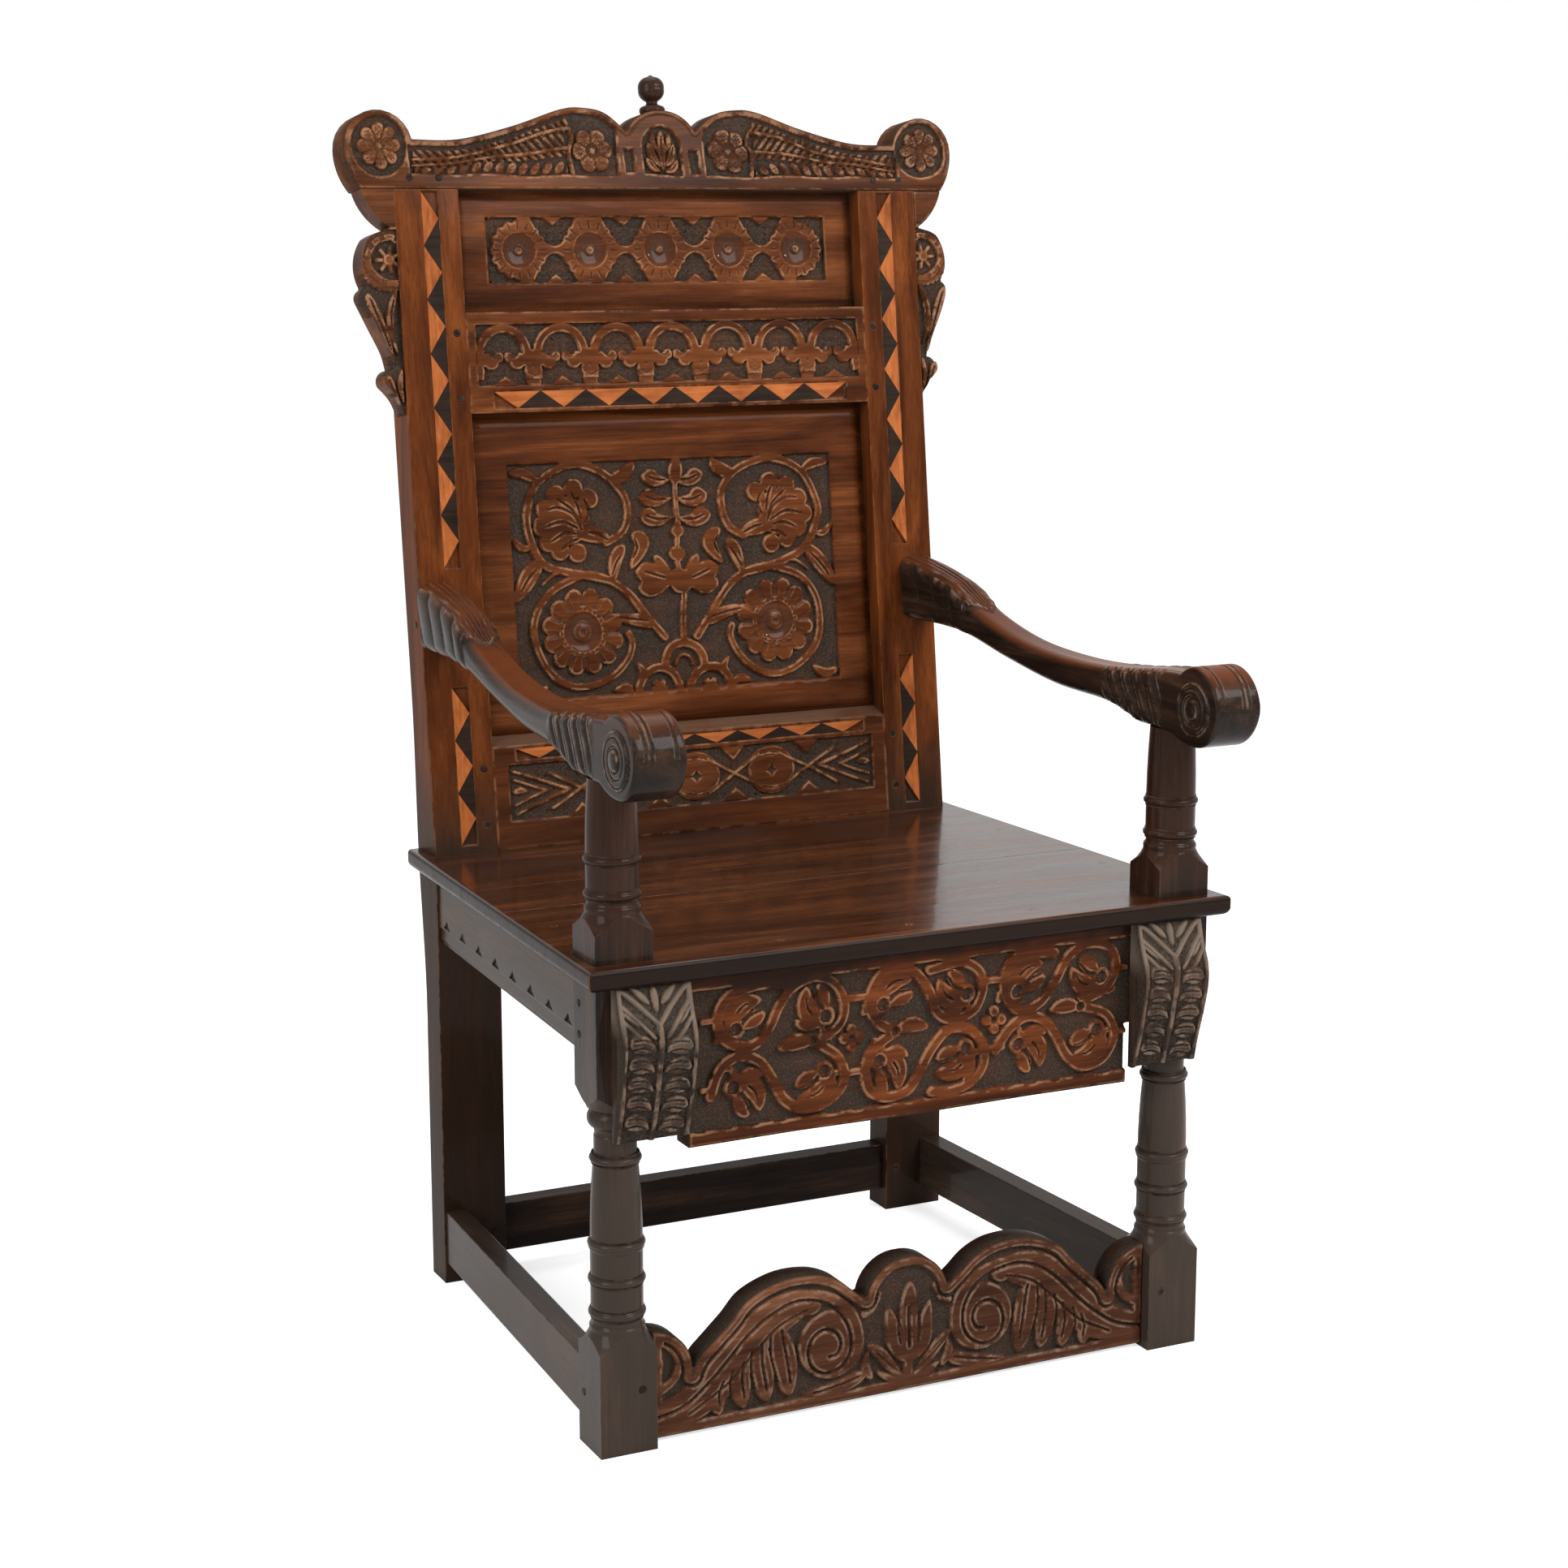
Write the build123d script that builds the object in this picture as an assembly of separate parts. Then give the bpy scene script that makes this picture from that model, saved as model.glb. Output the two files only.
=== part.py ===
"""A joined oak panel-back armchair: raked posts, pegged mortise-and-tenon frame, panels in grooves.

Millimetres. Front is -Y, up is +Z, the floor is z = 0 and x = 0 is the middle of the chair. While it is
modelled, y = 0 is the front face of the front legs. At the end everything is moved so that the origin is
the middle of the footprint. Right-hand pieces are modelled and the left-hand ones are their mirror images.
"""

from build123d import *
import os
from math import atan2, cos, degrees, hypot, radians, sin

# ---------------------------------------------------------------- driving sizes of the frame
SEAT_HEIGHT = 445.0          # floor to the top of the seat boards
FRONT_WIDTH = 620.0          # outside to outside of the front legs
BACK_WIDTH = 574.0           # outside to outside of the back posts
FRAME_DEPTH = 466.0          # front of the front legs to the front of the back posts
BACK_RAKE = 6.9              # degrees that the back leans from upright
BACK_LENGTH = 653.0          # seat to the underside of the crest, along the rake

LEG_WIDTH = 54.0
LEG_DEPTH = 50.0
POST_WIDTH = 66.0
POST_FOOT_DEPTH = 38.0
POST_KNEE_DEPTH = 52.0       # thickest at the seat, where the post changes direction
POST_TOP_DEPTH = 42.0
KNEE_LOW = 170.0             # the knee begins this far under the seat
KNEE_HIGH = 160.0            # and ends this far above it

RAIL_SET_BACK = 4.0          # side rails and stretchers lie this far inside the legs' outer faces
RAIL_THICKNESS = 26.0
STRETCHER_THICKNESS = 22.0

# ---------------------------------------------------------------- joints
TENON_THICKNESS = 10.0
TENON_LENGTH = 28.0
TENON_SHOULDER = 8.0         # rail edge to tenon edge
MORTISE_GAP = 0.2            # clearance all round a tenon
MORTISE_END_GAP = 1.0        # clearance past the end of a tenon
PEG_RADIUS = 3.5
PEG_GAP = 0.1
PEG_PROUD = 0.8

# ---------------------------------------------------------------- seat
SEAT_THICKNESS = 19.0
SEAT_FRONT_OVERHANG = 19.0
SEAT_SIDE_OVERHANG = 13.5
SEAT_JOINT = 217.0           # front of the legs to the joint between the two boards
BOARD_GAP = 0.3
NOTCH_GAP = 0.4
SEAT_NOSE = 8.0              # radius of the rounded lower edge
SEAT_TOP_ROUND = 4.0
FRONT_RAIL_HEIGHT = 154.0
FRONT_RAIL_SHOULDER = 98.0   # height of the part that meets the legs
APRON_INSET = 32.0           # the part below it stops this far from the legs
SIDE_RAIL_HEIGHT = 70.0
BACK_RAIL_HEIGHT = 74.0

# ---------------------------------------------------------------- back
BACK_RAIL_THICKNESS = 34.0
PANEL_RECESS = 18.0          # stile face to panel face
PANEL_THICKNESS = 13.0
PANEL_TONGUE = 8.0           # thickness of the panel's edge in its groove
PANEL_BEVEL = 9.0            # width of the bevel round the panel
GROOVE_DEPTH = 8.0
PANEL_GAP = 0.3
LOWER_RAIL_HEIGHT = 113.0
LOWER_RAIL_CHAMFER = 10.0
MIDDLE_RAIL_DROP = 120.0     # crest underside to the top of the middle rail
MIDDLE_RAIL_HEIGHT = 99.0
CARVING_DEPTH = 4.5          # depth of the sunk grounds that hold the carving
MOTIF_RISE = 2.6             # how far the bold motifs stand above their ground

# ---------------------------------------------------------------- inlay
INLAY_WIDTH = 17.0
INLAY_DEPTH = 3.0
INLAY_PITCH_STILE = 52.5
INLAY_PITCH_RAIL = 49.0
INLAY_GAP = 0.15
INLAY_EDGE = 36.0            # outer edge of a post to the middle of its inlay
INLAY_END = 2.0              # crest underside to the top of a post's inlay
INLAY_FOOT = 8.0             # seat to the bottom of a post's inlay

# ---------------------------------------------------------------- crest and ears
CREST_THICKNESS = 38.0
CREST_OVERHANG = 47.0        # the scroll ends stand this far outside the posts
ROUNDEL_RADIUS = 35.0
ROUNDEL_HEIGHT = 41.0        # crest underside to the middle of the roundel
CREST_BORDER = 7.0
CREST_BAND = 15.0            # plain band along the crest's lower edge
CREST_HEEL = 14.0            # the underside stops this far short of the scroll's outside
EAR_THICKNESS = 32.0

# ---------------------------------------------------------------- stretchers
STRETCHER_LOW = 22.0         # floor to the underside of the side and rear stretchers
SIDE_STRETCHER_HEIGHT = 54.0
REAR_STRETCHER_HEIGHT = 50.0
FRONT_STRETCHER_LOW = 4.0
FRONT_STRETCHER_HEIGHT = 128.0
FRONT_STRETCHER_THICKNESS = 26.0
FRONT_STRETCHER_SET_BACK = 11.0

# ---------------------------------------------------------------- arms
ARM_REAR_WIDTH = 36.0
ARM_MIDDLE_WIDTH = 40.0
ARM_SCROLL_WIDTH = 48.0
ARM_RISE = 157.0             # seat to the flat that sits on the column
ARM_TAIL_RISE = 39.0         # that flat to the arm's underside at the post
ARM_TAIL_HEIGHT = 79.0
SCROLL_RADIUS = 27.0

# ---------------------------------------------------------------- places that follow from the sizes
LEG_OUT = FRONT_WIDTH / 2
LEG_IN = LEG_OUT - LEG_WIDTH
LEG_X = LEG_OUT - LEG_WIDTH / 2
LEG_Y = LEG_DEPTH / 2
POST_OUT = BACK_WIDTH / 2
POST_IN = POST_OUT - POST_WIDTH
POST_X = (POST_OUT + POST_IN) / 2
CREST_HALF = POST_OUT + CREST_OVERHANG
SEAT_UNDER = SEAT_HEIGHT - SEAT_THICKNESS
POST_BACK_FOOT = FRAME_DEPTH + POST_FOOT_DEPTH
POST_BACK_KNEE = FRAME_DEPTH + POST_KNEE_DEPTH
RAKE = radians(BACK_RAKE)
MIDDLE_RAIL_HIGH = BACK_LENGTH - MIDDLE_RAIL_DROP
MIDDLE_RAIL_LOW = MIDDLE_RAIL_HIGH - MIDDLE_RAIL_HEIGHT
ARM_SEAT = SEAT_HEIGHT + ARM_RISE
BACK_FRAME = Pos(0, FRAME_DEPTH, SEAT_HEIGHT) * Rot(-BACK_RAKE, 0, 0)


# ---------------------------------------------------------------- helpers
def block(x, y, z):
    """A box given by its low and high limits on each axis."""
    size = (x[1] - x[0], y[1] - y[0], z[1] - z[0])
    middle = ((x[0] + x[1]) / 2, (y[0] + y[1]) / 2, (z[0] + z[1]) / 2)
    return Pos(*middle) * Box(*size)


def mortise(x, y, z, along="x"):
    """The pocket for a tenon with these limits: wider all round, and deeper along its length."""
    grow = {axis: MORTISE_GAP for axis in "xyz"}
    grow[along] = MORTISE_END_GAP
    return block(
        (x[0] - grow["x"], x[1] + grow["x"]),
        (y[0] - grow["y"], y[1] + grow["y"]),
        (z[0] - grow["z"], z[1] + grow["z"]),
    )


def closed(*edges):
    """The flat face inside a closed run of edges."""
    return make_face(Curve() + list(edges))


def inset(face, distance):
    """The face drawn in by a distance. Its free curves become splines, which a STEP file keeps."""
    edges = []
    for edge in offset(face, -distance).edges():
        plain = edge.geom_type in (GeomType.LINE, GeomType.CIRCLE)
        edges.append(edge if plain else Spline(*[edge @ (n / 12) for n in range(13)]))
    return make_face(edges)


def front_board(face, front, thickness):
    """A board drawn from the front (x across, y up), its face at depth front, its back behind it."""
    return extrude(Plane.XZ.offset(-front) * face, thickness, dir=(0, 1, 0))


def side_board(face, x, width):
    """A board drawn from the side (x rearwards, y up), from x to x + width."""
    return extrude(Plane.YZ.offset(x) * face, width)


def plan_board(face, z, height):
    """A board drawn from above, from z upwards."""
    return extrude(Plane.XY.offset(z) * face, height)


def leaned(shape):
    """Turns a shape made upright on the back's own frame to the rake of the back."""
    return BACK_FRAME * shape


def other_side(shape):
    return mirror(shape, about=Plane.YZ)


def both_sides(shape):
    return shape + other_side(shape)


def turned(stretches, start):
    """A turning about Z. start is (radius, z). Each stretch is (radius, z, swell) at its upper end,
    where swell is how far the middle of the stretch stands out from a straight line."""
    edges = [Line((0, start[1]), start)]
    here = start
    for radius, z, swell in stretches:
        there = (radius, z)
        if swell:
            middle = ((here[0] + radius) / 2 + swell, (here[1] + z) / 2)
            edges.append(ThreePointArc(here, middle, there))
        else:
            edges.append(Line(here, there))
        here = there
    edges += [Line(here, (0, here[1])), Line((0, here[1]), (0, start[1]))]
    return revolve(Plane.XZ * closed(*edges), Axis.Z)


def peg(x, y, z, length, direction):
    """A peg whose head stands a little proud at x, y, z and whose shank runs along direction."""
    plane = Plane(origin=(x, y, z), z_dir=direction)
    shank = Pos(0, 0, length / 2 - PEG_PROUD / 2) * Cylinder(PEG_RADIUS, length + PEG_PROUD)
    return plane * chamfer(shank.edges().sort_by(Axis.Z)[0], 0.6)


def peg_hole(x, y, z, length, direction):
    plane = Plane(origin=(x, y, z), z_dir=direction)
    return plane * Pos(0, 0, length / 2) * Cylinder(PEG_RADIUS + PEG_GAP, length + 2 * MORTISE_GAP)


def ring(x, z, outer, inner, low, rise):
    """A flat ring on a ground at depth low, standing rise towards the front."""
    face = Pos(x, z) * (Circle(outer) - Circle(inner))
    return front_board(face, low - rise, rise)


# ---------------------------------------------------------------- back posts
def back_point(along, depth):
    """The side-view place (y, z) of a point along the rake and behind the stile face."""
    return (
        FRAME_DEPTH + along * sin(RAKE) + depth * cos(RAKE),
        SEAT_HEIGHT + along * cos(RAKE) - depth * sin(RAKE),
    )


def post_profile():
    foot, knee = (POST_BACK_FOOT, SEAT_HEIGHT - KNEE_LOW), (POST_BACK_KNEE, SEAT_HEIGHT - 15)
    upper, top = back_point(KNEE_HIGH, POST_TOP_DEPTH + 1), back_point(BACK_LENGTH, POST_TOP_DEPTH)
    front_top = back_point(BACK_LENGTH, 0)
    bend = (FRAME_DEPTH, SEAT_HEIGHT)
    return closed(
        Line((FRAME_DEPTH, 0), (POST_BACK_FOOT, 0)),
        Line((POST_BACK_FOOT, 0), foot),
        Spline(foot, knee, upper, tangents=[(0, 1), (sin(RAKE), cos(RAKE))]),
        Line(upper, top),
        Line(top, front_top),
        Line(front_top, bend),
        Line(bend, (FRAME_DEPTH, 0)),
    )


def rail_tenon(z_low, z_high, depth, outer, shoulder=TENON_SHOULDER):
    """Limits of the tenon at the right end of a rail: x from the shoulder at outer, into the post."""
    middle = depth + BACK_RAIL_THICKNESS / 2
    return (
        (outer, outer + TENON_LENGTH),
        (middle - TENON_THICKNESS / 2, middle + TENON_THICKNESS / 2),
        (z_low + shoulder, z_high - shoulder),
    )


CREST_TENON_HEIGHT = 30.0
CREST_TENON = (
    (POST_IN + 10, POST_OUT - 12),
    ((CREST_THICKNESS - TENON_THICKNESS) / 2, (CREST_THICKNESS + TENON_THICKNESS) / 2),
    (BACK_LENGTH, BACK_LENGTH + CREST_TENON_HEIGHT),
)
LOWER_RAIL_FOOT = 6.0        # the lower rail's end at the seat, along the rake
LOWER_TENON = rail_tenon(LOWER_RAIL_FOOT, LOWER_RAIL_HEIGHT - LOWER_RAIL_CHAMFER, 0, POST_IN)
MIDDLE_TENON = rail_tenon(MIDDLE_RAIL_LOW, MIDDLE_RAIL_HIGH, 0, POST_IN)
BACK_PEG_X = POST_IN + 10
BACK_PEGS = [
    (POST_X - 14, BACK_LENGTH + 11),
    (POST_X + 16, BACK_LENGTH + 11),
    (BACK_PEG_X, MIDDLE_RAIL_HIGH - 20),
    (BACK_PEG_X, MIDDLE_RAIL_LOW + 15),
    (BACK_PEG_X, LOWER_RAIL_HEIGHT - 30),
    (BACK_PEG_X, 28),
]
BACK_PEG_LENGTH = 30.0

# seat frame and stretcher tenons, right-hand side, in the chair's frame
POST_FRONT_TENON_Y = (FRAME_DEPTH + 14, FRAME_DEPTH + 14 + TENON_THICKNESS)
BACK_SEAT_TENON = (
    (POST_IN, POST_IN + TENON_LENGTH),
    POST_FRONT_TENON_Y,
    (SEAT_UNDER - BACK_RAIL_HEIGHT + TENON_SHOULDER, SEAT_UNDER - TENON_SHOULDER),
)
REAR_STRETCHER_TENON = (
    (POST_IN, POST_IN + TENON_LENGTH),
    POST_FRONT_TENON_Y,
    (STRETCHER_LOW + TENON_SHOULDER, STRETCHER_LOW + REAR_STRETCHER_HEIGHT - TENON_SHOULDER),
)
FRONT_SEAT_TENON = (
    (LEG_IN, LEG_IN + TENON_LENGTH),
    (10, 10 + TENON_THICKNESS),
    (SEAT_UNDER - FRONT_RAIL_SHOULDER + TENON_SHOULDER, SEAT_UNDER - TENON_SHOULDER),
)
FRONT_STRETCHER_TENON = (
    (LEG_IN, LEG_IN + TENON_LENGTH),
    (FRONT_STRETCHER_SET_BACK + 8, FRONT_STRETCHER_SET_BACK + 8 + TENON_THICKNESS),
    (FRONT_STRETCHER_LOW + 14, FRONT_STRETCHER_LOW + 84),
)


def side_tenon(end, z_low, z_high):
    """Limits of a side rail's tenon: end is "leg" or "post". It is thin, so it clears the other tenons."""
    length = TENON_LENGTH * 0.7
    if end == "leg":
        x = LEG_OUT - RAIL_SET_BACK - 5
        return ((x - TENON_THICKNESS, x), (LEG_DEPTH - length, LEG_DEPTH), (z_low, z_high))
    x = POST_OUT - RAIL_SET_BACK + 2 - 5
    length = POST_FRONT_TENON_Y[0] - FRAME_DEPTH - 2
    return ((x - TENON_THICKNESS, x), (FRAME_DEPTH, FRAME_DEPTH + length), (z_low, z_high))


SIDE_RAIL_Z = (SEAT_UNDER - SIDE_RAIL_HEIGHT + TENON_SHOULDER, SEAT_UNDER - TENON_SHOULDER)
SIDE_STRETCHER_HIGH = STRETCHER_LOW + SIDE_STRETCHER_HEIGHT
SIDE_STRETCHER_Z = (STRETCHER_LOW + TENON_SHOULDER, SIDE_STRETCHER_HIGH - TENON_SHOULDER)
ARM_LOW = ARM_RISE + ARM_TAIL_RISE
ARM_TENON_X = (POST_OUT - 30, POST_OUT - 30 + TENON_THICKNESS)
ARM_TENON_Z = (ARM_LOW + 12, ARM_LOW + ARM_TAIL_HEIGHT - 24)     # along the rake
ARM_END_Z = (ARM_LOW - 7, ARM_LOW + ARM_TAIL_HEIGHT + 4)         # the stretch of the stile it covers
ARM_TENON_LENGTH = 26.0


def stile_inlay_runs():
    """Middle heights of the pale triangles on a stile, along the rake, above and below the arm."""
    top, pitch = BACK_LENGTH - INLAY_END, INLAY_PITCH_STILE
    above = [top - pitch * (n + 0.5) for n in range(int((top - ARM_END_Z[1]) // pitch))]
    below = [INLAY_FOOT + pitch * (n + 0.5) for n in range(int((ARM_END_Z[0] - INLAY_FOOT) // pitch))]
    return above, below[::-1]


def rail_inlay_triangles(length):
    count = int(length // INLAY_PITCH_RAIL)
    return [INLAY_PITCH_RAIL * (n - (count - 1) / 2) for n in range(count)]


def inlay_groove(x, z):
    return block(x, (-1, INLAY_DEPTH), z)


STILE_INLAY_X = POST_OUT - INLAY_EDGE
STILE_GROOVE_X = (STILE_INLAY_X - INLAY_WIDTH / 2, STILE_INLAY_X + INLAY_WIDTH / 2)


def back_post():
    post = side_board(post_profile(), POST_IN, POST_WIDTH)
    groove_z = (LOWER_RAIL_HEIGHT - GROOVE_DEPTH, BACK_LENGTH)
    cuts = block((POST_IN - 1, POST_IN + GROOVE_DEPTH), panel_groove_depth(), groove_z)
    cuts += mortise(*LOWER_TENON) + mortise(*MIDDLE_TENON)
    half = INLAY_PITCH_STILE / 2
    for run in stile_inlay_runs():
        cuts += inlay_groove(STILE_GROOVE_X, (run[-1] - half, run[0] + half))
    cuts += mortise(ARM_TENON_X, (-1, ARM_TENON_LENGTH), ARM_TENON_Z, "y")
    post = post + leaned(block(*CREST_TENON))
    post -= leaned(cuts)
    post -= mortise(*BACK_SEAT_TENON) + mortise(*REAR_STRETCHER_TENON)
    for heights in (SIDE_RAIL_Z, SIDE_STRETCHER_Z):
        post -= mortise(*side_tenon("post", *heights), "y")
    for x, z in BACK_PEGS:
        post -= leaned(peg_hole(x, 0, z, BACK_PEG_LENGTH, (0, 1, 0)))
    return cut_pegs(post)


def panel_groove_depth():
    low = PANEL_RECESS + 2.5
    return (low, low + PANEL_TONGUE + PANEL_GAP)


# ---------------------------------------------------------------- back rails and panels
def lower_rail():
    low, high = -LOWER_RAIL_FOOT, LOWER_RAIL_HEIGHT
    profile = Polyline(
        (0, low), (BACK_RAIL_THICKNESS, low), (BACK_RAIL_THICKNESS, high),
        (PANEL_RECESS, high), (0, high - LOWER_RAIL_CHAMFER), (0, low),
    )
    rail = side_board(make_face(profile), -POST_IN, 2 * POST_IN)
    rail -= inlay_groove((-RAIL_GROOVE_HALF, RAIL_GROOVE_HALF), LOWER_INLAY_Z)
    field_x, field_z = LOWER_FIELD
    rail -= block(field_x, (-1, LOWER_CARVING_DEPTH), field_z)
    middle = sum(field_z) / 2
    for n in range(OVAL_COUNT):
        x = OVAL_PITCH * (n - (OVAL_COUNT - 1) / 2)
        oval = Ellipse(OVAL_HALF + 3, OVAL_TALL + 3) - Ellipse(OVAL_HALF - 3, OVAL_TALL - 3)
        rail += front_board(Pos(x, middle) * oval, LOWER_CARVING_DEPTH - LOWER_MOTIF_RISE, LOWER_MOTIF_RISE)
    rail += both_sides(block(*LOWER_TENON))
    rail -= block((-POST_IN, POST_IN), panel_groove_depth(), (high - GROOVE_DEPTH, high + 1))
    for side in (1, -1):
        for px, pz in BACK_PEGS[4:]:
            rail -= peg_hole(side * px, 0, pz, BACK_PEG_LENGTH, (0, 1, 0))
    below_seat = block(
        (-BACK_WIDTH, BACK_WIDTH), (FRAME_DEPTH - 60, FRAME_DEPTH + 90), (SEAT_HEIGHT - 40, SEAT_HEIGHT)
    )
    return leaned(rail) - below_seat


RAIL_GROOVE_HALF = INLAY_PITCH_RAIL * len(rail_inlay_triangles(2 * POST_IN - 8)) / 2
LOWER_RAIL_ARRIS = LOWER_RAIL_HEIGHT - LOWER_RAIL_CHAMFER
LOWER_INLAY_Z = (LOWER_RAIL_ARRIS - 14, LOWER_RAIL_ARRIS - 3)
LOWER_FIELD = ((-POST_IN + 16, POST_IN - 16), (28, 84))
LOWER_CARVING_DEPTH = 3.0
LOWER_MOTIF_RISE = 1.8
OVAL_COUNT = 3
OVAL_PITCH = 86.0
OVAL_HALF = 24.0
OVAL_TALL = 22.0
MIDDLE_INLAY_Z = (MIDDLE_RAIL_LOW + 4, MIDDLE_RAIL_LOW + 4 + INLAY_WIDTH)
ARCH_COUNT = 7
ARCH_PITCH = (2 * POST_IN - 15) / ARCH_COUNT
ARCH_RADIUS = 19.0
ARCH_BAND = 7.0
ARCADE_Z = (MIDDLE_RAIL_LOW + 27, MIDDLE_RAIL_HIGH - 12)


def middle_rail():
    rail = block((-POST_IN, POST_IN), (0, BACK_RAIL_THICKNESS), (MIDDLE_RAIL_LOW, MIDDLE_RAIL_HIGH))
    rail -= inlay_groove((-RAIL_GROOVE_HALF, RAIL_GROOVE_HALF), MIDDLE_INLAY_Z)
    half = ARCH_PITCH * ARCH_COUNT / 2 - 2
    rail -= block((-half, half), (-1, CARVING_DEPTH), ARCADE_Z)
    spring = ARCADE_Z[1] - ARCH_RADIUS - ARCH_BAND - 1
    for n in range(ARCH_COUNT):
        x = ARCH_PITCH * (n - (ARCH_COUNT - 1) / 2)
        arch = Pos(x, spring) * (Circle(ARCH_RADIUS + ARCH_BAND) - Circle(ARCH_RADIUS))
        arch &= Pos(x, spring + 20) * Rectangle(ARCH_PITCH, 40)
        rail += front_board(arch, CARVING_DEPTH - MOTIF_RISE, MOTIF_RISE)
    pier_y = (CARVING_DEPTH - MOTIF_RISE, CARVING_DEPTH)
    pier_half = ARCH_PITCH / 2 - ARCH_RADIUS - 4
    for n in range(ARCH_COUNT - 1):
        x = ARCH_PITCH * (n - (ARCH_COUNT - 2) / 2)
        rail += block((x - pier_half, x + pier_half), pier_y, (ARCADE_Z[0], spring))
    rail += both_sides(block(*MIDDLE_TENON))
    for z in (MIDDLE_RAIL_LOW, MIDDLE_RAIL_HIGH):
        rail -= block((-POST_IN, POST_IN), panel_groove_depth(), (z - GROOVE_DEPTH, z + GROOVE_DEPTH))
    for side in (1, -1):
        for px, pz in BACK_PEGS[2:4]:
            rail -= peg_hole(side * px, 0, pz, BACK_PEG_LENGTH, (0, 1, 0))
    return leaned(rail)


def panel(z_low, z_high, field):
    """A panel between two rails: bevelled round its edge, thin enough there to slide in the grooves."""
    reach = GROOVE_DEPTH - 1
    front, back = PANEL_RECESS, PANEL_RECESS + PANEL_THICKNESS
    groove = panel_groove_depth()
    tongue = (groove[0] + PANEL_GAP / 2, groove[1] - PANEL_GAP / 2)
    wide = 2 * POST_IN
    middle = (z_low + z_high) / 2
    edge = block((-POST_IN - reach, POST_IN + reach), tongue, (z_low - reach, z_high + reach))
    outer = Plane.XZ.offset(-tongue[0]) * Pos(0, middle) * Rectangle(wide - 1, z_high - z_low - 1)
    inner = Plane.XZ.offset(-front) * Pos(0, middle) * Rectangle(
        wide - 1 - 2 * PANEL_BEVEL, z_high - z_low - 1 - 2 * PANEL_BEVEL
    )
    body = loft([outer, inner])
    body += block((-POST_IN + 12, POST_IN - 12), (tongue[0], back), (z_low + 12, z_high - 12))
    body += edge
    body -= block(field[0], (front - 1, front + CARVING_DEPTH), field[1])
    return body


UPPER_HALF = POST_IN - 33
UPPER_FIELD = ((-UPPER_HALF, UPPER_HALF), (MIDDLE_RAIL_HIGH + 30, BACK_LENGTH - 25))
ROSETTE_COUNT = 5
ROSETTE_RADIUS = 28.0
ROSETTE_HOLLOW = 18.5
ROSETTE_BUTTON = 4.0
ROSETTE_PITCH = (2 * UPPER_HALF + 9) / ROSETTE_COUNT
MAIN_HALF = POST_IN - 41
MAIN_FIELD = ((-MAIN_HALF, MAIN_HALF), (LOWER_RAIL_HEIGHT + 34, MIDDLE_RAIL_LOW - 52))
FLOWER_RADIUS = 54.0
FLOWER_X = MAIN_HALF - FLOWER_RADIUS - 17
FLOWER_HIGH = MAIN_FIELD[1][1] - FLOWER_RADIUS - 4
FLOWER_LOW = MAIN_FIELD[1][0] + FLOWER_RADIUS + 6
PANEL_GROUND = PANEL_RECESS + CARVING_DEPTH


def upper_panel():
    body = panel(MIDDLE_RAIL_HIGH, BACK_LENGTH, UPPER_FIELD)
    middle = sum(UPPER_FIELD[1]) / 2
    for n in range(ROSETTE_COUNT):
        x = ROSETTE_PITCH * (n - (ROSETTE_COUNT - 1) / 2)
        body += ring(x, middle, ROSETTE_RADIUS, ROSETTE_HOLLOW, PANEL_GROUND, MOTIF_RISE)
        boss = Pos(x, middle) * Circle(ROSETTE_BUTTON)
        body += front_board(boss, PANEL_GROUND - MOTIF_RISE, MOTIF_RISE)
    return leaned(body)


def main_panel():
    body = panel(LOWER_RAIL_HEIGHT, MIDDLE_RAIL_LOW, MAIN_FIELD)
    for x in (FLOWER_X, -FLOWER_X):
        for z in (FLOWER_HIGH, FLOWER_LOW):
            body += ring(x, z, FLOWER_RADIUS, FLOWER_RADIUS - 7, PANEL_GROUND, MOTIF_RISE)
            body += ring(x, z, FLOWER_RADIUS / 2, FLOWER_RADIUS / 2 - 6, PANEL_GROUND, MOTIF_RISE)
    return leaned(body)


# ---------------------------------------------------------------- inlay
def triangle_strip(count, pitch, width, pale):
    """Triangles along +x, base on the y = 0 side when pale and on the y = width side when dark."""
    half = pitch / 2
    inset = INLAY_GAP
    shapes = Sketch()
    for n in range(count if pale else count - 1):
        x = pitch * n + (0 if pale else half)
        reach = half - 3 * inset
        base, tip = (inset, width - inset) if pale else (width - inset, inset)
        corners = [(x - reach, base), (x + reach, base), (x, tip)]
        shapes += make_face(Polyline(*corners, corners[0]))
    return shapes


def rail_inlay(z_limits, pale):
    """A band on a rail: the pale triangles hang from the top edge, the dark ones stand between them."""
    count = len(rail_inlay_triangles(2 * POST_IN - 8))
    width = z_limits[1] - z_limits[0]
    strip = triangle_strip(count, INLAY_PITCH_RAIL, width, pale)
    start = -INLAY_PITCH_RAIL * (count - 1) / 2
    placed = Pos(start, z_limits[1]) * mirror(strip, about=Plane.XZ)
    return leaned(front_board(placed, INLAY_GAP, INLAY_DEPTH - INLAY_GAP))


def stile_inlay(pale):
    """The right-hand stile's band: the pale triangles' straight side is the outer one."""
    band = Part()
    for run in stile_inlay_runs():
        strip = triangle_strip(len(run), INLAY_PITCH_STILE, INLAY_WIDTH, pale)
        placed = Pos(STILE_GROOVE_X[1], run[-1]) * Rot(0, 0, 90) * strip
        band += front_board(placed, INLAY_GAP, INLAY_DEPTH - INLAY_GAP)
    return leaned(band)


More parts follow.
